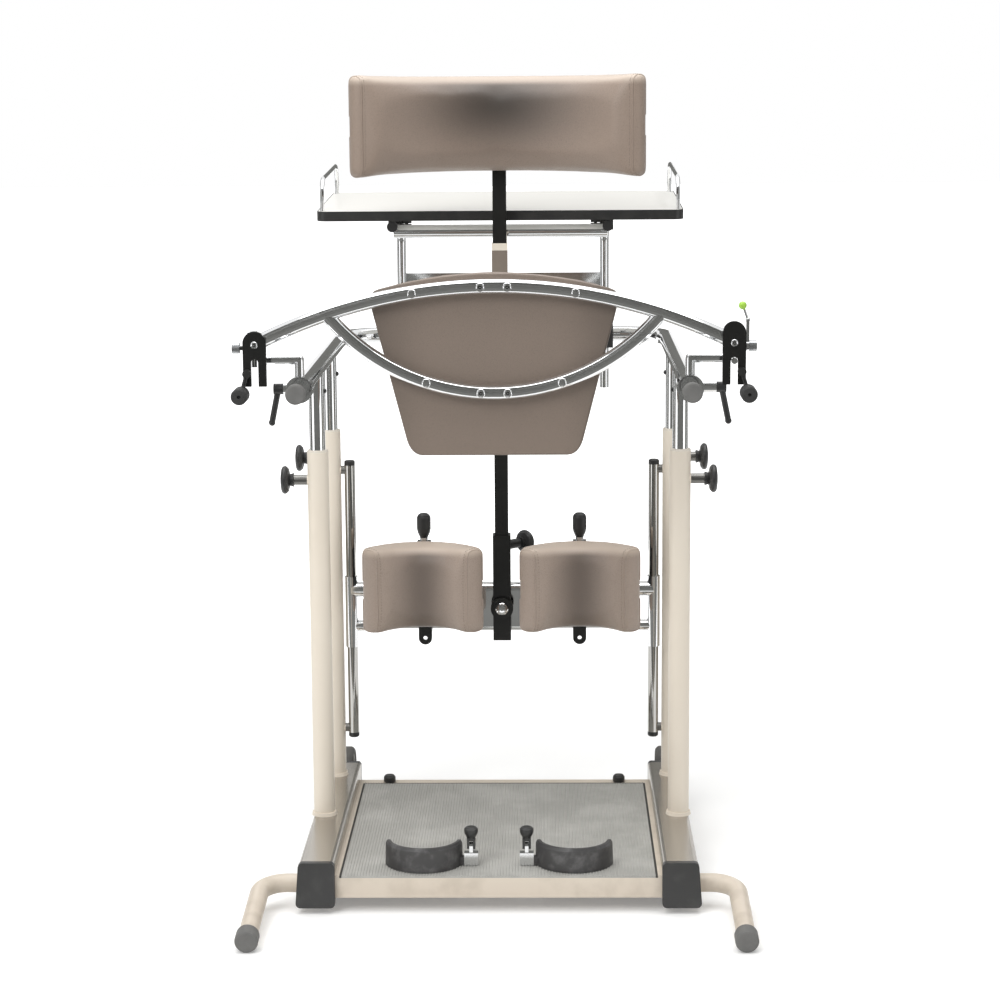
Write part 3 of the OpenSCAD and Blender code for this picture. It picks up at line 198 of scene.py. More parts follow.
def brushed_silver(place):
    lines = place.stretched(1.0, 0.02, 1.0).noise(1400.0, 2.0)
    cloud = place.noise(9.0, 4.0)
    marks = place.stretched(1.0, 0.3, 1.0).noise(160.0, 2.0).eased(0.68, 0.74)
    return {
        "Base Color": cloud.blend(tint(174, 169, 161), tint(188, 183, 175)),
        "Metallic": 0.8 + marks * 0.15,
        "Roughness": 0.16 + lines * 0.1 + cloud * 0.05,
        "Normal": lines.relief(0.08, 0.0003),
    }


dress(finish("silver_rail", brushed_silver), "side_rails", "wheel_forks")

# Moulded black parts: rail end caps, hand knobs, clamps, runners, levers, feet, tray edge and chest board.
# Injection moulded nylon with a fine spark-eroded grain, rubbed shiny where hands hold it.


def both(*stems):
    """The names of the left and the right one of each pair."""
    return [stem + side for stem in stems for side in ("_left", "_right")]


def moulded_black(place):
    grain = place.noise(1500.0, 2.0)
    rubbed = place.noise(28.0, 4.0).eased(0.45, 0.7)
    return {
        "Base Color": rubbed.blend(tint(48, 48, 48), tint(57, 57, 56)),
        "Roughness": 0.34 - rubbed * 0.08 + grain * 0.06,
        "Normal": grain.relief(0.18, 0.0004),
    }


column_knobs = both("column_knob_near", "column_knob_far")
moulded = finish("moulded_black", moulded_black)
dress(moulded, *column_knobs)
dress(moulded, *both("tray_clamp_knob", "tray_knob", "heel_lever", "rail_clamp", "levelling_foot"))
dress(moulded, "rail_end_caps", "tray_leg_clamps", "tray_runners", "tray_edge", "mast_knob", "chest_board")

# Ribbed mat: extruded rubber sheet glued to the pan, mid grey, with paler dust in its grooves.
# Its ribs run from heel to toe, and a dark line along its sides and toes is painted shade for the groove
# between mat and pan.
mat_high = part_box("foot_mat")[1]
groove_shade_width = 0.004


def ribbed_rubber(place):
    dust = place.noise(60.0, 5.0)
    scuff = place.noise(11.0, 4.0).eased(0.42, 0.7)
    speck = place.noise(1200.0, 2.0)
    # Painted shade: a dark line along the sides and toes stands for the shaded groove between mat and pan.
    side_groove_shade = abs(place.part("X")) > mat_high.x - groove_shade_width
    toe_groove_shade = place.part("Y") > mat_high.y - groove_shade_width
    ribs = (dust * 0.5 + scuff * 0.4).blend(tint(158, 157, 152), tint(192, 191, 186))
    return {
        "Base Color": (side_groove_shade | toe_groove_shade).blend(ribs, tint(58, 57, 54)),
        "Roughness": 0.62 + dust * 0.2,
        "Normal": speck.relief(0.2, 0.0004),
    }


dress(finish("ribbed_rubber", ribbed_rubber), "foot_mat")

# Grey rubber: leg tips and handrail end caps, pressed on over steel.
# The moulding bloomed a little, so it is mottled.


def grey_bloom(place):
    mottle = place.noise(55.0, 5.0)
    pores = place.noise(1300.0, 2.0)
    return {
        "Base Color": mottle.blend(tint(92, 92, 90), tint(122, 121, 119)),
        "Roughness": 0.58 + mottle * 0.2,
        "Normal": pores.relief(0.25, 0.0004),
    }


dress(finish("grey_rubber", grey_bloom), "leg_tips", "handrail_caps")

# Column bushes: turned from off-white nylon and pressed into the columns' mouths.
# Turning left fine rings round them.


def nylon(place):
    rings = place.stretched(0.05, 0.05, 1.0).noise(900.0, 2.0)
    cloud = place.noise(30.0, 4.0)
    return {
        "Base Color": cloud.blend(tint(214, 206, 193), tint(226, 219, 207)),
        "Roughness": 0.42 + rings * 0.15,
        "Normal": rings.relief(0.15, 0.0003),
    }


dress(finish("turned_nylon", nylon), "column_bushes")

# Transport wheels: a grey rubber tyre moulded round a paler nylon rim, on a steel axle.
# The tread is finely grained and carries floor dust.
wheel_low, wheel_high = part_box("wheel_left")
axle = (wheel_low + wheel_high) / 2
tyre_inside = 0.038


def wheel_looks(place):
    y = place.part("Y") - axle.y
    z = place.part("Z") - axle.z
    tyre = (y * y + z * z).root() > tyre_inside
    dust = place.noise(70.0, 5.0)
    rubber = dust.blend(tint(62, 62, 62), tint(104, 102, 98))
    return {
        "Base Color": tyre.blend(tint(176, 174, 168), rubber),
        "Roughness": 0.4 + tyre * 0.25 + dust * 0.1,
        "Normal": place.noise(1100.0, 2.0).relief(0.2, 0.0004),
    }


dress(finish("wheel_rubber", wheel_looks), *both("wheel"))

# Heel cups: a moulded black crescent with a chromed clamp beside it that grips the pan through a slot.
# The cup is scuffed by shoes.
clamp_edge = 0.0601


def heel_looks(place):
    clamp = abs(place.part("X")) < clamp_edge
    scuff = place.noise(45.0, 5.0).eased(0.45, 0.75)
    grain = place.noise(1500.0, 2.0)
    cup = scuff.blend(tint(66, 65, 65), tint(98, 97, 97))
    return {
        "Base Color": clamp.blend(cup, tint(222, 223, 224)),
        "Metallic": clamp,
        "Roughness": 0.42 + scuff * 0.12 - clamp * 0.32,
        "Normal": grain.relief(0.15, 0.0003),
    }


dress(finish("heel_plastic", heel_looks), *both("heel_cup"))

# Chromed tube and bar: handrail, guards, knee bars and brackets, gate carriages, bars and bolts.
# Nickel and chrome over polished steel, with faint swirls from wiping.


def chrome_plate(place):
    swirl = place.noise(38.0, 3.0)
    haze = place.noise(9.0, 4.0).eased(0.4, 0.8)
    return {
        "Base Color": haze.blend(tint(238, 239, 240), tint(226, 227, 227)),
        "Roughness": 0.04 + swirl * 0.03 + haze * 0.05,
        "Normal": haze.relief(0.01, 0.0006),
    }


chrome = finish("chrome", chrome_plate, Metallic=1.0)
dress(chrome, "handrail", "tray_guards", "knee_bars", "knee_brackets", "gate_bars", "gate_bolts")
dress(chrome, *both("gate_carriage"))

# Guide rods and tray legs: chromed, each end closed by a black plug.
# The rods' plugs are domed, and the tray legs' plugs stand out a little round the tube.
rod_low, rod_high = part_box("guide_rods")
rod_plug = 0.009
leg_plug = 0.0045
leg_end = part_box("tray_legs")[0].y + leg_plug
plug_black = tint(40, 40, 40)


def plugged(place, plug):
    plate = chrome_plate(place)
    grain = place.noise(1500.0, 2.0)
    plate["Base Color"] = plug.blend(plate["Base Color"], plug_black)
    plate["Metallic"] = 1 - plug
    plate["Roughness"] = plate["Roughness"] + plug * (0.36 + grain * 0.06)
    return plate


def rod_looks(place):
    z = place.part("Z")
    plug = (z > rod_high.z - rod_plug) + (z < rod_low.z + rod_plug)
    plate = plugged(place, plug)
    # Painted shade: the rods' plate is a darker grey than the other chrome, standing for the dark
    # surroundings they mirror.
    plate["Base Color"] = plug.blend(tint(186, 185, 182), plug_black)
    return plate


def leg_looks(place):
    return plugged(place, place.part("Y") < leg_end)


dress(finish("plugged_rod", rod_looks), "guide_rods")
dress(finish("plugged_arm", leg_looks), "tray_legs")

# Bolts through the four posts: black domed heads on both sides of each post, above the column's bush.
# They join the post to the stiffening bar inside it, and clear the bush at the lowest setting.
post_radius = 0.0138
post_bolt_z = 0.8637
dome = [(-0.002, 0.0), (-0.002, 0.0042), (0.0012, 0.0042),
        (0.0026, 0.0036), (0.0036, 0.0024), (0.0041, 0.0)]
dome_steps = 20


def turned(shape, middle, along, profile, steps):
    """Adds a revolved solid to a bmesh. The profile gives points as distances along the axis and out."""
    across = along.orthogonal().normalized()
    points = [shape.verts.new(middle + along * far + across * out) for far, out in profile]
    edges = [shape.edges.new(pair) for pair in zip(points, points[1:])]
    bmesh.ops.spin(shape, geom=points + edges, cent=middle, axis=along, angle=math.tau, steps=steps,
                   use_merge=True)


def placed(name, shape, material, body):
    """Closes a bmesh into a smooth-shaded piece that rides on a body."""
    bmesh.ops.remove_doubles(shape, verts=shape.verts, dist=1e-6)
    bmesh.ops.recalc_face_normals(shape, faces=shape.faces)
    mesh = bpy.data.meshes.new(name)
    shape.to_mesh(mesh)
    shape.free()
    for face in mesh.polygons:
        face.use_smooth = True
    mesh.materials.append(material)
    piece = bpy.data.objects.new(name, mesh)
    bpy.context.scene.collection.objects.link(piece)
    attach(piece, body)
    return piece


heads = bmesh.new()
for knob in column_knobs:
    low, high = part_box(knob)
    sign = 1 if low.x > 0 else -1
    for face in (-1, 1):
        seat = Vector((sign * column_middle + face * post_radius, (low.y + high.y) / 2, post_bolt_z))
        turned(heads, seat, Vector((face, 0, 0)), dome, dome_steps)
placed("post_bolts", heads, moulded, "upper_frame")

# Gate bolts: the paired ones in the middle and those in the end plates have hexagon sockets, drawn as
# shallow dishes whose near-black colour is painted shade for the deep recess.
# The single ones between them are plain polished domes.
single_bolts = (0.06, 0.3)
socket_radius = 0.0031
socket_floor = socket_radius * 0.8
socket_depth = 0.0008
socket_proud = 0.0002
hexagon = 6


def loose_boxes(node):
    """The lowest and highest corner of each separate solid in a CAD node."""
    shape = bmesh.new()
    shape.from_mesh(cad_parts[node].data)
    bmesh.ops.remove_doubles(shape, verts=shape.verts, dist=1e-5)
    left = set(shape.verts)
    boxes = []
    while left:
        group = {left.pop()}
        rim = list(group)
        while rim:
            near = {edge.other_vert(vertex) for vertex in rim for edge in vertex.link_edges} - group
            group |= near
            rim = list(near)
        left -= group
        corners = [[side(vertex.co[axis] for vertex in group) for axis in range(3)] for side in (min, max)]
        boxes.append(corners)
    shape.free()
    return [(Vector(lowest), Vector(highest)) for lowest, highest in sorted(boxes)]


def socket_looks(place):
    # Painted shade: the near-black, mottled colour stands for the shade deep inside a socket.
    shade_mottle = place.noise(900.0, 3.0)
    return {"Base Color": shade_mottle.blend(tint(20, 20, 20), tint(44, 44, 43)), "Roughness": 0.3 + shade_mottle * 0.25}


hollow = [(0.0, socket_radius), (socket_depth + socket_proud, socket_radius), (socket_depth, socket_floor),
          (socket_depth - socket_proud, 0.0)]
sockets = bmesh.new()
for low, high in loose_boxes("gate_bolts"):
    middle = (low + high) / 2
    if single_bolts[0] < abs(middle.x) < single_bolts[1]:
        continue
    seat = Vector((middle.x, low.y + socket_depth, middle.z))
    turned(sockets, seat, Vector((0, -1, 0)), hollow, hexagon)
socket_shade = finish("socket_shade_paint", socket_looks, Metallic=0.6)
flat_sockets = placed("gate_bolt_sockets", sockets, socket_shade, "gate")
for face in flat_sockets.data.polygons:
    face.use_smooth = False

# Mast, its sleeve, the knee pads' carriers and the gate's end plates: steel, powder coated black.
# The coat is finely wrinkled, and a zinc nut shows at each plate's outer edge.
nut_edge = 0.4135


def black_coat(place):
    wrinkle = place.noise(1000.0, 3.0)
    cloud = place.noise(13.0, 4.0)
    nut = abs(place.part("X")) > nut_edge
    coat = cloud.blend(tint(17, 17, 16), tint(28, 28, 26))
    return {
        "Base Color": nut.blend(coat, tint(176, 178, 180)),
        "Metallic": nut * 0.9,
        "Roughness": 0.3 + cloud * 0.12 - nut * 0.1,
        "Normal": wrinkle.relief(0.16, 0.0004),
    }


dress(finish("black_paint", black_coat), "mast_sleeve", "mast", "gate_plates", *both("knee_carrier"))

# Mast guide: a folded and painted steel channel round the mast. Its taupe body is painted shade under the
# chest pad, and a cream band on its top is a painted highlight.
# The mast has rubbed faint upright lines into the paint.
lit_band_low = 1.095


def guide_looks(place):
    # Painted light: the cream band at the top is a painted highlight, and the taupe below it is painted
    # shade.
    lit_band = place.part("Z") > lit_band_low
    cloud = place.noise(26.0, 4.0)
    lines = place.stretched(1.0, 1.0, 0.03).noise(500.0, 2.0)
    taupe = cloud.blend(tint(120, 109, 99), tint(134, 123, 112))
    return {
        "Base Color": lit_band.blend(taupe, tint(230, 221, 206)),
        "Roughness": 0.36 + cloud * 0.1 + lines * 0.08,
        "Normal": lines.relief(0.05, 0.0003),
    }


dress(finish("guide_painted_shade", guide_looks), "mast_guide")

# Grip levers: a black steel rod with a dark grey rubber grip pushed on its end.
# The grip's rubber is finely pored and mottled by handling.
grip_top = 0.9155


def grip_looks(place):
    rubber = place.part("Z") < grip_top
    mottle = place.noise(60.0, 5.0)
    pores = place.noise(1300.0, 2.0)
    grip = mottle.blend(tint(42, 42, 42), tint(58, 58, 57))
    return {
        "Base Color": rubber.blend(tint(38, 38, 37), grip),
        "Roughness": 0.4 + rubber * 0.2 + mottle * 0.1,
        "Normal": pores.relief(0.22, 0.0004),
    }


dress(finish("grip_rubber", grip_looks), *both("grip_lever"))

# Knee pull pins: a black bulb grip on a chromed neck.
# The neck shows where the bulb stands on the carrier's lug.
neck_len = 0.0155
neck_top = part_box("knee_pin_left")[0].z + neck_len


def pin_looks(place):
    neck = place.part("Z") < neck_top
    grain = place.noise(1400.0, 2.0)
    return {
        "Base Color": neck.blend(tint(40, 40, 40), tint(215, 216, 217)),
        "Metallic": neck,
        "Roughness": 0.36 + grain * 0.08 - neck * 0.25,
        "Normal": grain.relief(0.12, 0.0003),
    }


dress(finish("knee_pin", pin_looks), *both("knee_pin"))

# Tray: a board faced with white laminate, and a black edge band ironed on all round.
# The laminate has a fine pearl texture and faint scratches.


def white_laminate(place):
    pearl = place.noise(800.0, 2.0)
    cloud = place.noise(5.0, 3.0)
    scratch = place.stretched(0.06, 1.0, 1.0).noise(240.0, 2.0).eased(0.7, 0.73)
    return {
        "Base Color": cloud.blend(tint(226, 224, 218), tint(233, 232, 228)),
        "Roughness": 0.3 + pearl * 0.08 + scratch * 0.15,
        "Normal": pearl.relief(0.05, 0.0002),
    }


dress(finish("white_board", white_laminate), "tray_board")

# Release lever: a chromed bar with a bright green ball on its end.
# The ball is gloss plastic, slightly mottled by the moulding.
ball_size = 0.0135
ball_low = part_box("latch_lever")[1].z - ball_size


def latch_looks(place):
    ball = place.part("Z") > ball_low
    flow = place.noise(120.0, 3.0)
    green = flow.blend(tint(150, 196, 62), tint(172, 214, 90))
    return {
        "Base Color": ball.blend(tint(220, 221, 222), green),
        "Metallic": 1 - ball,
        "Roughness": 0.12 + ball * 0.1 + flow * 0.06,
    }


dress(finish("green_ball", latch_looks), "latch_lever")

# Pad covers: taupe leatherette with a fine grain, darkened by painted shade in a patch that is also a
# little smoother, and lightened near the top by a painted highlight.
# They are stuffed with foam, so they swell between their seams and the board that they are glued to.
highlight_start = 0.022
highlight_full = 0.006
voxel = 0.005
start_inset = 0.0008
swell_pressure = 4.0
swell_limit = 0.008
swell_frames = 20


def leatherette(name, cover_colour, shade_and_grain_colour, shade_patch, top):
    """Leatherette of a given colour, turned towards the darker one as painted shade where the patch is high
    and a little smoother there, and lightened near the top as a painted highlight.
    """

    def looks(place):
        grain = {"Vector": place, "Scale": 620.0}
        creases = place.node("TexVoronoi", {"feature": "DISTANCE_TO_EDGE"}, grain).eased(0.0, 0.16)
        fine = place.noise(1400.0, 2.0)
        cloud = place.noise(6.0, 4.0)
        # Painted highlight: the cover turns lighter over its top edge, as if lit from above.
        top_highlight = place.part("Z").eased(top - highlight_start, top - highlight_full)
        # Painted shade: where the patch is high the cover darkens, as a pad's shaded hollow or sides would.
        shade_and_polish = shade_patch(place) * (1 - top_highlight)
        dark = ((1 - creases) * 0.3 + cloud * 0.12) * (1 - top_highlight)
        colour = top_highlight.blend(shade_and_polish.blend(cover_colour, shade_and_grain_colour), tint(195, 179, 164))
        return {
            "Base Color": dark.blend(colour, shade_and_grain_colour),
            "Roughness": 0.4 + cloud * 0.08 + fine * 0.06 - shade_and_polish * 0.03,
            "Normal": (creases * 0.8 + fine * 0.2).relief(0.22, 0.0004),
        }

    gloss = {"Coat Weight": 0.4, "Coat Roughness": 0.52, "Sheen Weight": 0.2, "Sheen Roughness": 0.35}
    return finish(name, looks, **gloss)


def applied(piece):
    """A new mesh of a piece as its modifiers leave it. The piece then has none."""
    mesh = bpy.data.meshes.new_from_object(piece.evaluated_get(bpy.context.evaluated_depsgraph_get()))
    piece.modifiers.clear()
    return mesh


def swollen(pad, held):
    """The mesh of a pad blown up by pressure, apart from its held points, with each move limited."""
    rest = [vertex.co.copy() for vertex in pad.data.vertices]
    group = pad.vertex_groups.new(name="held")
    for index, point in enumerate(rest):
        if held(point):
            group.add([index], 1.0, "REPLACE")
    cloth = pad.modifiers.new("swell", "CLOTH")
    cloth.settings.use_pressure = True
    cloth.settings.uniform_pressure_force = swell_pressure
    cloth.settings.vertex_group_mass = "held"
    cloth.settings.effector_weights.gravity = 0.0
    for step in range(1, swell_frames + 1):
        bpy.context.scene.frame_set(step)
    mesh = applied(pad)
    for vertex, before in zip(mesh.vertices, rest):
        moved = vertex.co - before
        if moved.length > swell_limit:
            vertex.co = before + moved * (swell_limit / moved.length)
    return mesh


def stuffed(node, body, cover, held, fair):
    """A padded piece in place of a CAD pad: shrunk, remeshed, faired and swollen."""
    shape = bmesh.new()
    shape.from_mesh(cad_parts[node].data)
    bmesh.ops.remove_doubles(shape, verts=shape.verts, dist=1e-5)
    shape.normal_update()
    for vertex in shape.verts:
        vertex.co -= vertex.normal * start_inset
    mesh = bpy.data.meshes.new(node + "_cover")
    shape.to_mesh(mesh)
    shape.free()
    pad = bpy.data.objects.new(node + "_cover", mesh)
    bpy.context.scene.collection.objects.link(pad)
    remesh = pad.modifiers.new("even", "REMESH")
    remesh.mode = "VOXEL"
    remesh.voxel_size = voxel
    pad.data = applied(pad)
    for vertex in pad.data.vertices:
        vertex.co = fair(vertex.co.copy())
    pad.data = swollen(pad, held)
    bpy.context.scene.frame_set(1)
    for face in pad.data.polygons:
        face.use_smooth = True
    even_out = pad.modifiers.new("even_out", "SMOOTH")
    even_out.factor = 0.5
    even_out.iterations = 14
    smooth = pad.modifiers.new("fair", "SUBSURF")
    smooth.levels = 1
    smooth.render_levels = 1
    pad.data.materials.append(cover)
    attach(pad, body)
    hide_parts(node)
    return pad


# Piping and stitches of the covers: a thin cord in the cover's own leatherette is sewn into each seam.
# A row of short stitches in spun thread runs beside it.
stitch_pitch = 0.0055
stitch_half = Vector((0.0017, 0.0005, 0.0005))


def piping(name, body, cover, points, radius, closed):
    """A cord sewn into a seam, through the given points."""
    curve = bpy.data.curves.new(name, "CURVE")
    curve.dimensions = "3D"
    curve.bevel_depth = radius
    curve.bevel_resolution = 3
    curve.use_fill_caps = True
    line = curve.splines.new("POLY")
    line.points.add(len(points) - 1)
    line.use_cyclic_u = closed
    line.use_smooth = True
    for knot, point in zip(line.points, points):
        knot.co = (*point, 1.0)
    curve.materials.append(cover)
    cord = bpy.data.objects.new(name, curve)
    bpy.context.scene.collection.objects.link(cord)
    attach(cord, body)


def stitched(name, body, thread, rows):
    """Short stitches along rows of points, each an oval lying on the cover."""
    oval = Matrix.Diagonal((*stitch_half, 1.0))
    shape = bmesh.new()
    for row in rows:
        gone = 0.0
        for first, second in zip(row, row[1:]):
            gone += (second - first).length
            if gone < stitch_pitch:
                continue
            gone -= stitch_pitch
            turn = (second - first).to_track_quat("X", "Z").to_matrix().to_4x4()
            lie = Matrix.Translation(second) @ turn @ oval
            bmesh.ops.create_icosphere(shape, subdivisions=1, radius=1.0, matrix=lie)
    placed(name, shape, thread, body)


def thread_looks(place):
    twist = place.noise(2600.0, 2.0)
    return {
        "Base Color": twist.blend(tint(112, 100, 91), tint(138, 125, 114)),
        "Roughness": 0.6 + twist * 0.2,
    }


thread = finish("sewing_thread", thread_looks)

# Knee and chest pads: foam on a board that is bent round an upright axis, with rolled edges.
# Each cover is sewn from a front panel and two end strips, with a piped seam near each end.
pad_half = 0.025
back_hold = 0.008
seam_hold = 0.004
rolled_edge = 0.014
edge_fade = 0.03
piping_radius = 0.0015
stitch_gap = 0.0045
seam_ray = 0.12
seam_reach = 140
knee_patch = 0.075
chest_patch = 0.13
chest_patch_rise = 0.038
chest_patch_squeeze = 0.55


def curved_pad(node, body, back_radius, half_arc, seam, crown, cover_colour, shade_and_grain_colour, shade_patch):
    """A pad bent round an upright axis, with a piped seam near each end and stitches beside it."""
    low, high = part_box(node)
    middle_x = (low.x + high.x) / 2
    axis_y = high.y - back_radius
    middle_z = (low.z + high.z) / 2

    def rolled_out(point):
        """How far a point is from the axis, and how far along the arc."""
        across = point.x - middle_x
        ahead = point.y - axis_y
        return math.hypot(across, ahead), math.atan2(across, ahead) * back_radius

    def held(point):
        out, along = rolled_out(point)
        return out > back_radius - back_hold or abs(abs(along) - seam) < seam_hold

    def fair(point):
        out, along = rolled_out(point)
        inside = min(half_arc - abs(along), (high.z - low.z) / 2 - abs(point.z - middle_z))
        share = min(max((inside - rolled_edge) / edge_fade, 0.0), 1.0)
        if out > back_radius - pad_half:
            share = 0.0
        smooth = out + (back_radius - 2 * pad_half - out) * share * share * (3 - 2 * share)
        height = max((point.z - middle_z) / (high.z - middle_z), 0.0)
        rise = crown * (1 - (along / half_arc) ** 2) * height
        across = point.x - middle_x
        ahead = point.y - axis_y
        return Vector((middle_x + across * smooth / out, axis_y + ahead * smooth / out, point.z + rise))

    def shade_patch_here(place):
        return shade_patch(place.measured_from((middle_x, axis_y, middle_z)))

    cover = leatherette(node + "_leatherette", cover_colour, shade_and_grain_colour, shade_patch_here, high.z)
    pad = stuffed(node, body, cover, held, fair)
    surface = BVHTree.FromObject(pad, bpy.context.evaluated_depsgraph_get())

    def round_section(along):
        back = Vector((math.sin(along / back_radius), math.cos(along / back_radius), 0.0))
        middle = Vector((middle_x, axis_y, middle_z)) + back * (back_radius - pad_half)
        points = []
        for degrees in range(-seam_reach, seam_reach + 1):
            turn = math.radians(degrees)
            out = Vector((0, 0, 1)) * math.sin(turn) - back * math.cos(turn)
            hit = surface.ray_cast(middle + out * seam_ray, -out, seam_ray)[0]
            if hit:
                points.append(hit)
        return points

    for end, sign in (("left", -1), ("right", 1)):
        piping(node + "_piping_" + end, body, cover, round_section(sign * seam), piping_radius, False)
    rows = [round_section(sign * (seam - stitch_gap)) for sign in (-1, 1)]
    stitched(node + "_stitches", body, thread, rows)


# Painted shade: the knee pads darken down the middle of their fronts, where the hollow is shaded.
def knee_shade(place):
    return (1 - abs(place.part("X")).eased(0.0, knee_patch)) * 0.8


# Painted shade: the chest pad darkens in a round patch a little above its middle, where its hollow is
# shaded.
def chest_shade(place):
    x = place.part("X") * chest_patch_squeeze
    z = place.part("Z") - chest_patch_rise
    return (1 - (x * x + z * z).root().eased(0.0, chest_patch)) * 0.95


for side in ("left", "right"):
    curved_pad("knee_pad_" + side, "knee_carrier_" + side, back_radius=0.142, half_arc=0.138, seam=0.132,
               crown=0.003, cover_colour=tint(173, 156, 143), shade_and_grain_colour=tint(90, 79, 71), shade_patch=knee_shade)
curved_pad("chest_pad", "chest_mast", back_radius=0.374, half_arc=0.303, seam=0.293,
           crown=0.006, cover_colour=tint(157, 139, 125), shade_and_grain_colour=tint(56, 48, 42), shade_patch=chest_shade)

# Hip pad: foam on a flat board, covered on both sides in the same leatherette.
# A piped seam runs round the board, where the back cover meets the front one.
hip_low, hip_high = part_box("gate_pad")
hip_patch = (0.1, 0.21)
highlight_rise = 0.02
glued_depth = 0.008
board_low, board_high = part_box("gate_board")
board_middle = (board_low + board_high) / 2
hem_steps = 240
hem_ray = 0.4
hem_inset = 0.002
hem_radius = 0.003


# Painted shade: the hip pad darkens towards both ends.
def hip_shade(place):
    return abs(place.part("X")).eased(*hip_patch) * 0.5


hip_cover_colour = tint(136, 121, 109)
hip_shade_and_grain_colour = tint(84, 74, 66)
hip_cover = leatherette("hip_leatherette", hip_cover_colour, hip_shade_and_grain_colour, hip_shade, hip_high.z + highlight_rise)
stuffed("gate_pad", "gate", hip_cover, lambda point: point.y < hip_low.y + glued_depth, lambda point: point)
dress(hip_cover, "gate_board")
board = BVHTree.FromObject(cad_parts["gate_board"], bpy.context.evaluated_depsgraph_get())
hem = []
for step in range(hem_steps):
    turn = math.tau * step / hem_steps
    out = Vector((math.cos(turn), 0, math.sin(turn)))
    hit = board.ray_cast(board_middle + out * hem_ray, -out, hem_ray)[0]
    hem.append(Vector((hit.x, board_high.y - hem_inset, hit.z)))
piping("gate_piping", "gate", hip_cover, hem, hem_radius, True)

# Studio: a seamless white floor that keeps the shadow near the object and glows white further out.
# Grey cards that only mirrors see stand round the object, so that the chrome has dark bands.
floor_reach = 30.0
glow_band = (0.9, 3.0)
near_glow = 0.2
black = (0.0, 0.0, 0.0, 1.0)
white = (1.0, 1.0, 1.0, 1.0)
front_card = [(-0.8, 0.01), (-2.6, 0.01), (-3.2, 1.3), (-2.7, 2.9), (-1.2, 3.5)]
side_card = [(-2.4, 0.05), (-2.6, 2.4)]
cards = [(0, front_card, 2.6), (180, side_card, 0.5)]
cards += [(turn, side_card, 0.8) for turn in (90, 135, 225, 270)]


def plain_card(name, path, half_width, turn, looks, **fixed):
    """A sheet that follows a path of depths and heights, turned about the object's upright axis."""
    sheet = bmesh.new()
    points = [sheet.verts.new((-half_width, y, z)) for y, z in path]
    edges = [sheet.edges.new(pair) for pair in zip(points, points[1:])]
    wide = bmesh.ops.extrude_edge_only(sheet, edges=edges)["geom"]
    moved = [item for item in wide if isinstance(item, bmesh.types.BMVert)]
    bmesh.ops.translate(sheet, verts=moved, vec=(2 * half_width, 0, 0))
    round_z = Matrix.Rotation(math.radians(turn), 3, "Z")
    bmesh.ops.rotate(sheet, verts=sheet.verts, cent=(0, 0, 0), matrix=round_z)
    mesh = bpy.data.meshes.new(name)
    sheet.to_mesh(mesh)
    sheet.free()
    card = bpy.data.objects.new(name, mesh)
    bpy.context.scene.collection.objects.link(card)
    mesh.materials.append(finish(name, looks, **fixed))
    return card


def seen_directly(start):
    """One where a ray comes from the camera, a mirror or clear material."""
    camera_ray = start.node("LightPath", output="Is Camera Ray")
    mirror_ray = start.node("LightPath", output="Is Glossy Ray")
    clear_ray = start.node("LightPath", output="Is Transmission Ray")
    return camera_ray | mirror_ray | clear_ray


def floor_looks(place):
    x = place.part("X")
    y = place.part("Y")
    far = (x * x + y * y).root().eased(*glow_band)
    glow = seen_directly(place) * (near_glow + far * (1 - near_glow))
    return {
        "Base Color": place.noise(3.0).blend(tint(240, 240, 239), tint(245, 245, 244)),
        "Emission Color": glow.blend(black, white),
    }


def card_looks(place):
    return {"Base Color": place.noise(2.0).blend(tint(98, 98, 95), tint(112, 112, 109))}


floor_path = [(-floor_reach, 0.0), (floor_reach, 0.0)]
plain_card("floor", floor_path, floor_reach, 0, floor_looks, **{"Roughness": 0.8, "Emission Strength": 1.0})
for turn, path, half_width in cards:
    card = plain_card("grey_card_%d" % turn, path, half_width, turn, card_looks, Roughness=0.9)
    card.visible_camera = False
    card.visible_diffuse = False
    card.visible_transmission = False
    card.visible_shadow = False

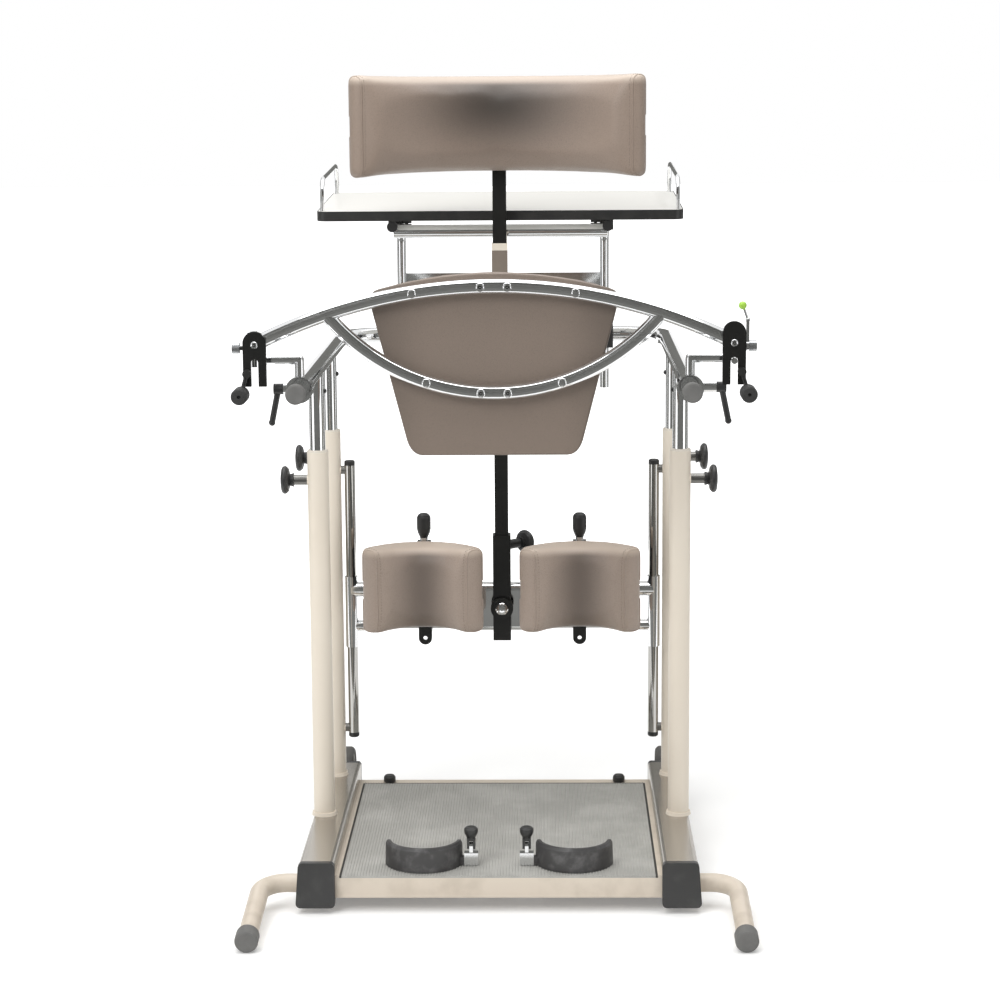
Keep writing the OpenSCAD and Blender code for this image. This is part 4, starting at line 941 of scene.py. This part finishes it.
# Light: a white surround that fills the shadows at about half strength but looks full white.
# One wide soft lamp hangs overhead, and a smaller one stands to the left of the camera.
fill_level = 0.48


def soft_light(name, place, target, size, watts):
    lamp = bpy.data.lights.new(name, "AREA")
    lamp.shape = "RECTANGLE"
    lamp.size = size
    lamp.size_y = size
    lamp.energy = watts
    stand = bpy.data.objects.new(name, lamp)
    bpy.context.scene.collection.objects.link(stand)
    stand.location = place
    stand.rotation_euler = (Vector(target) - Vector(place)).to_track_quat("-Z", "Y").to_euler()


world = bpy.data.worlds.new("studio")
bpy.context.scene.world = world
world.use_nodes = True
world.node_tree.nodes.clear()
sky = Shade(world.node_tree)
sky_level = fill_level + seen_directly(sky) * (1 - fill_level)
surround = sky.node("Background", None, {"Color": white, "Strength": sky_level})
sky.node("OutputWorld", None, {"Surface": surround})
soft_light("overhead", place=(0.0, -0.2, 4.2), target=(0.0, 0.0, 0.8), size=4.0, watts=130.0)
soft_light("front", place=(-2.0, -3.8, 3.8), target=(0.0, 0.0, 0.9), size=2.4, watts=105.0)

# Camera: fitted to the photograph's frame, with its lens given in pixels of that frame.
# It stands a little right of the middle and looks slightly down.
lens_pixels = 2453.0
frame_pixels = 1000.0
sensor_width = 36.0
camera_place = Vector((0.086, -4.3753, 1.396))
yaw = math.radians(1.123)
pitch = math.radians(9.625)
roll = math.radians(0.405)
level_right = Vector((math.cos(yaw), math.sin(yaw), 0.0))
ahead = Vector((-math.sin(yaw) * math.cos(pitch), math.cos(yaw) * math.cos(pitch), -math.sin(pitch)))
level_up = level_right.cross(ahead)
right = level_right * math.cos(roll) - level_up * math.sin(roll)
up = level_up * math.cos(roll) + level_right * math.sin(roll)
camera = bpy.data.cameras.new("camera")
camera.sensor_width = sensor_width
camera.lens = lens_pixels / frame_pixels * sensor_width
holder = bpy.data.objects.new("camera", camera)
bpy.context.scene.collection.objects.link(holder)
aim = Matrix((right, up, -ahead)).transposed().to_4x4()
aim.translation = camera_place
holder.matrix_world = aim
bpy.context.scene.camera = holder
bpy.context.scene.view_settings.view_transform = "Standard"
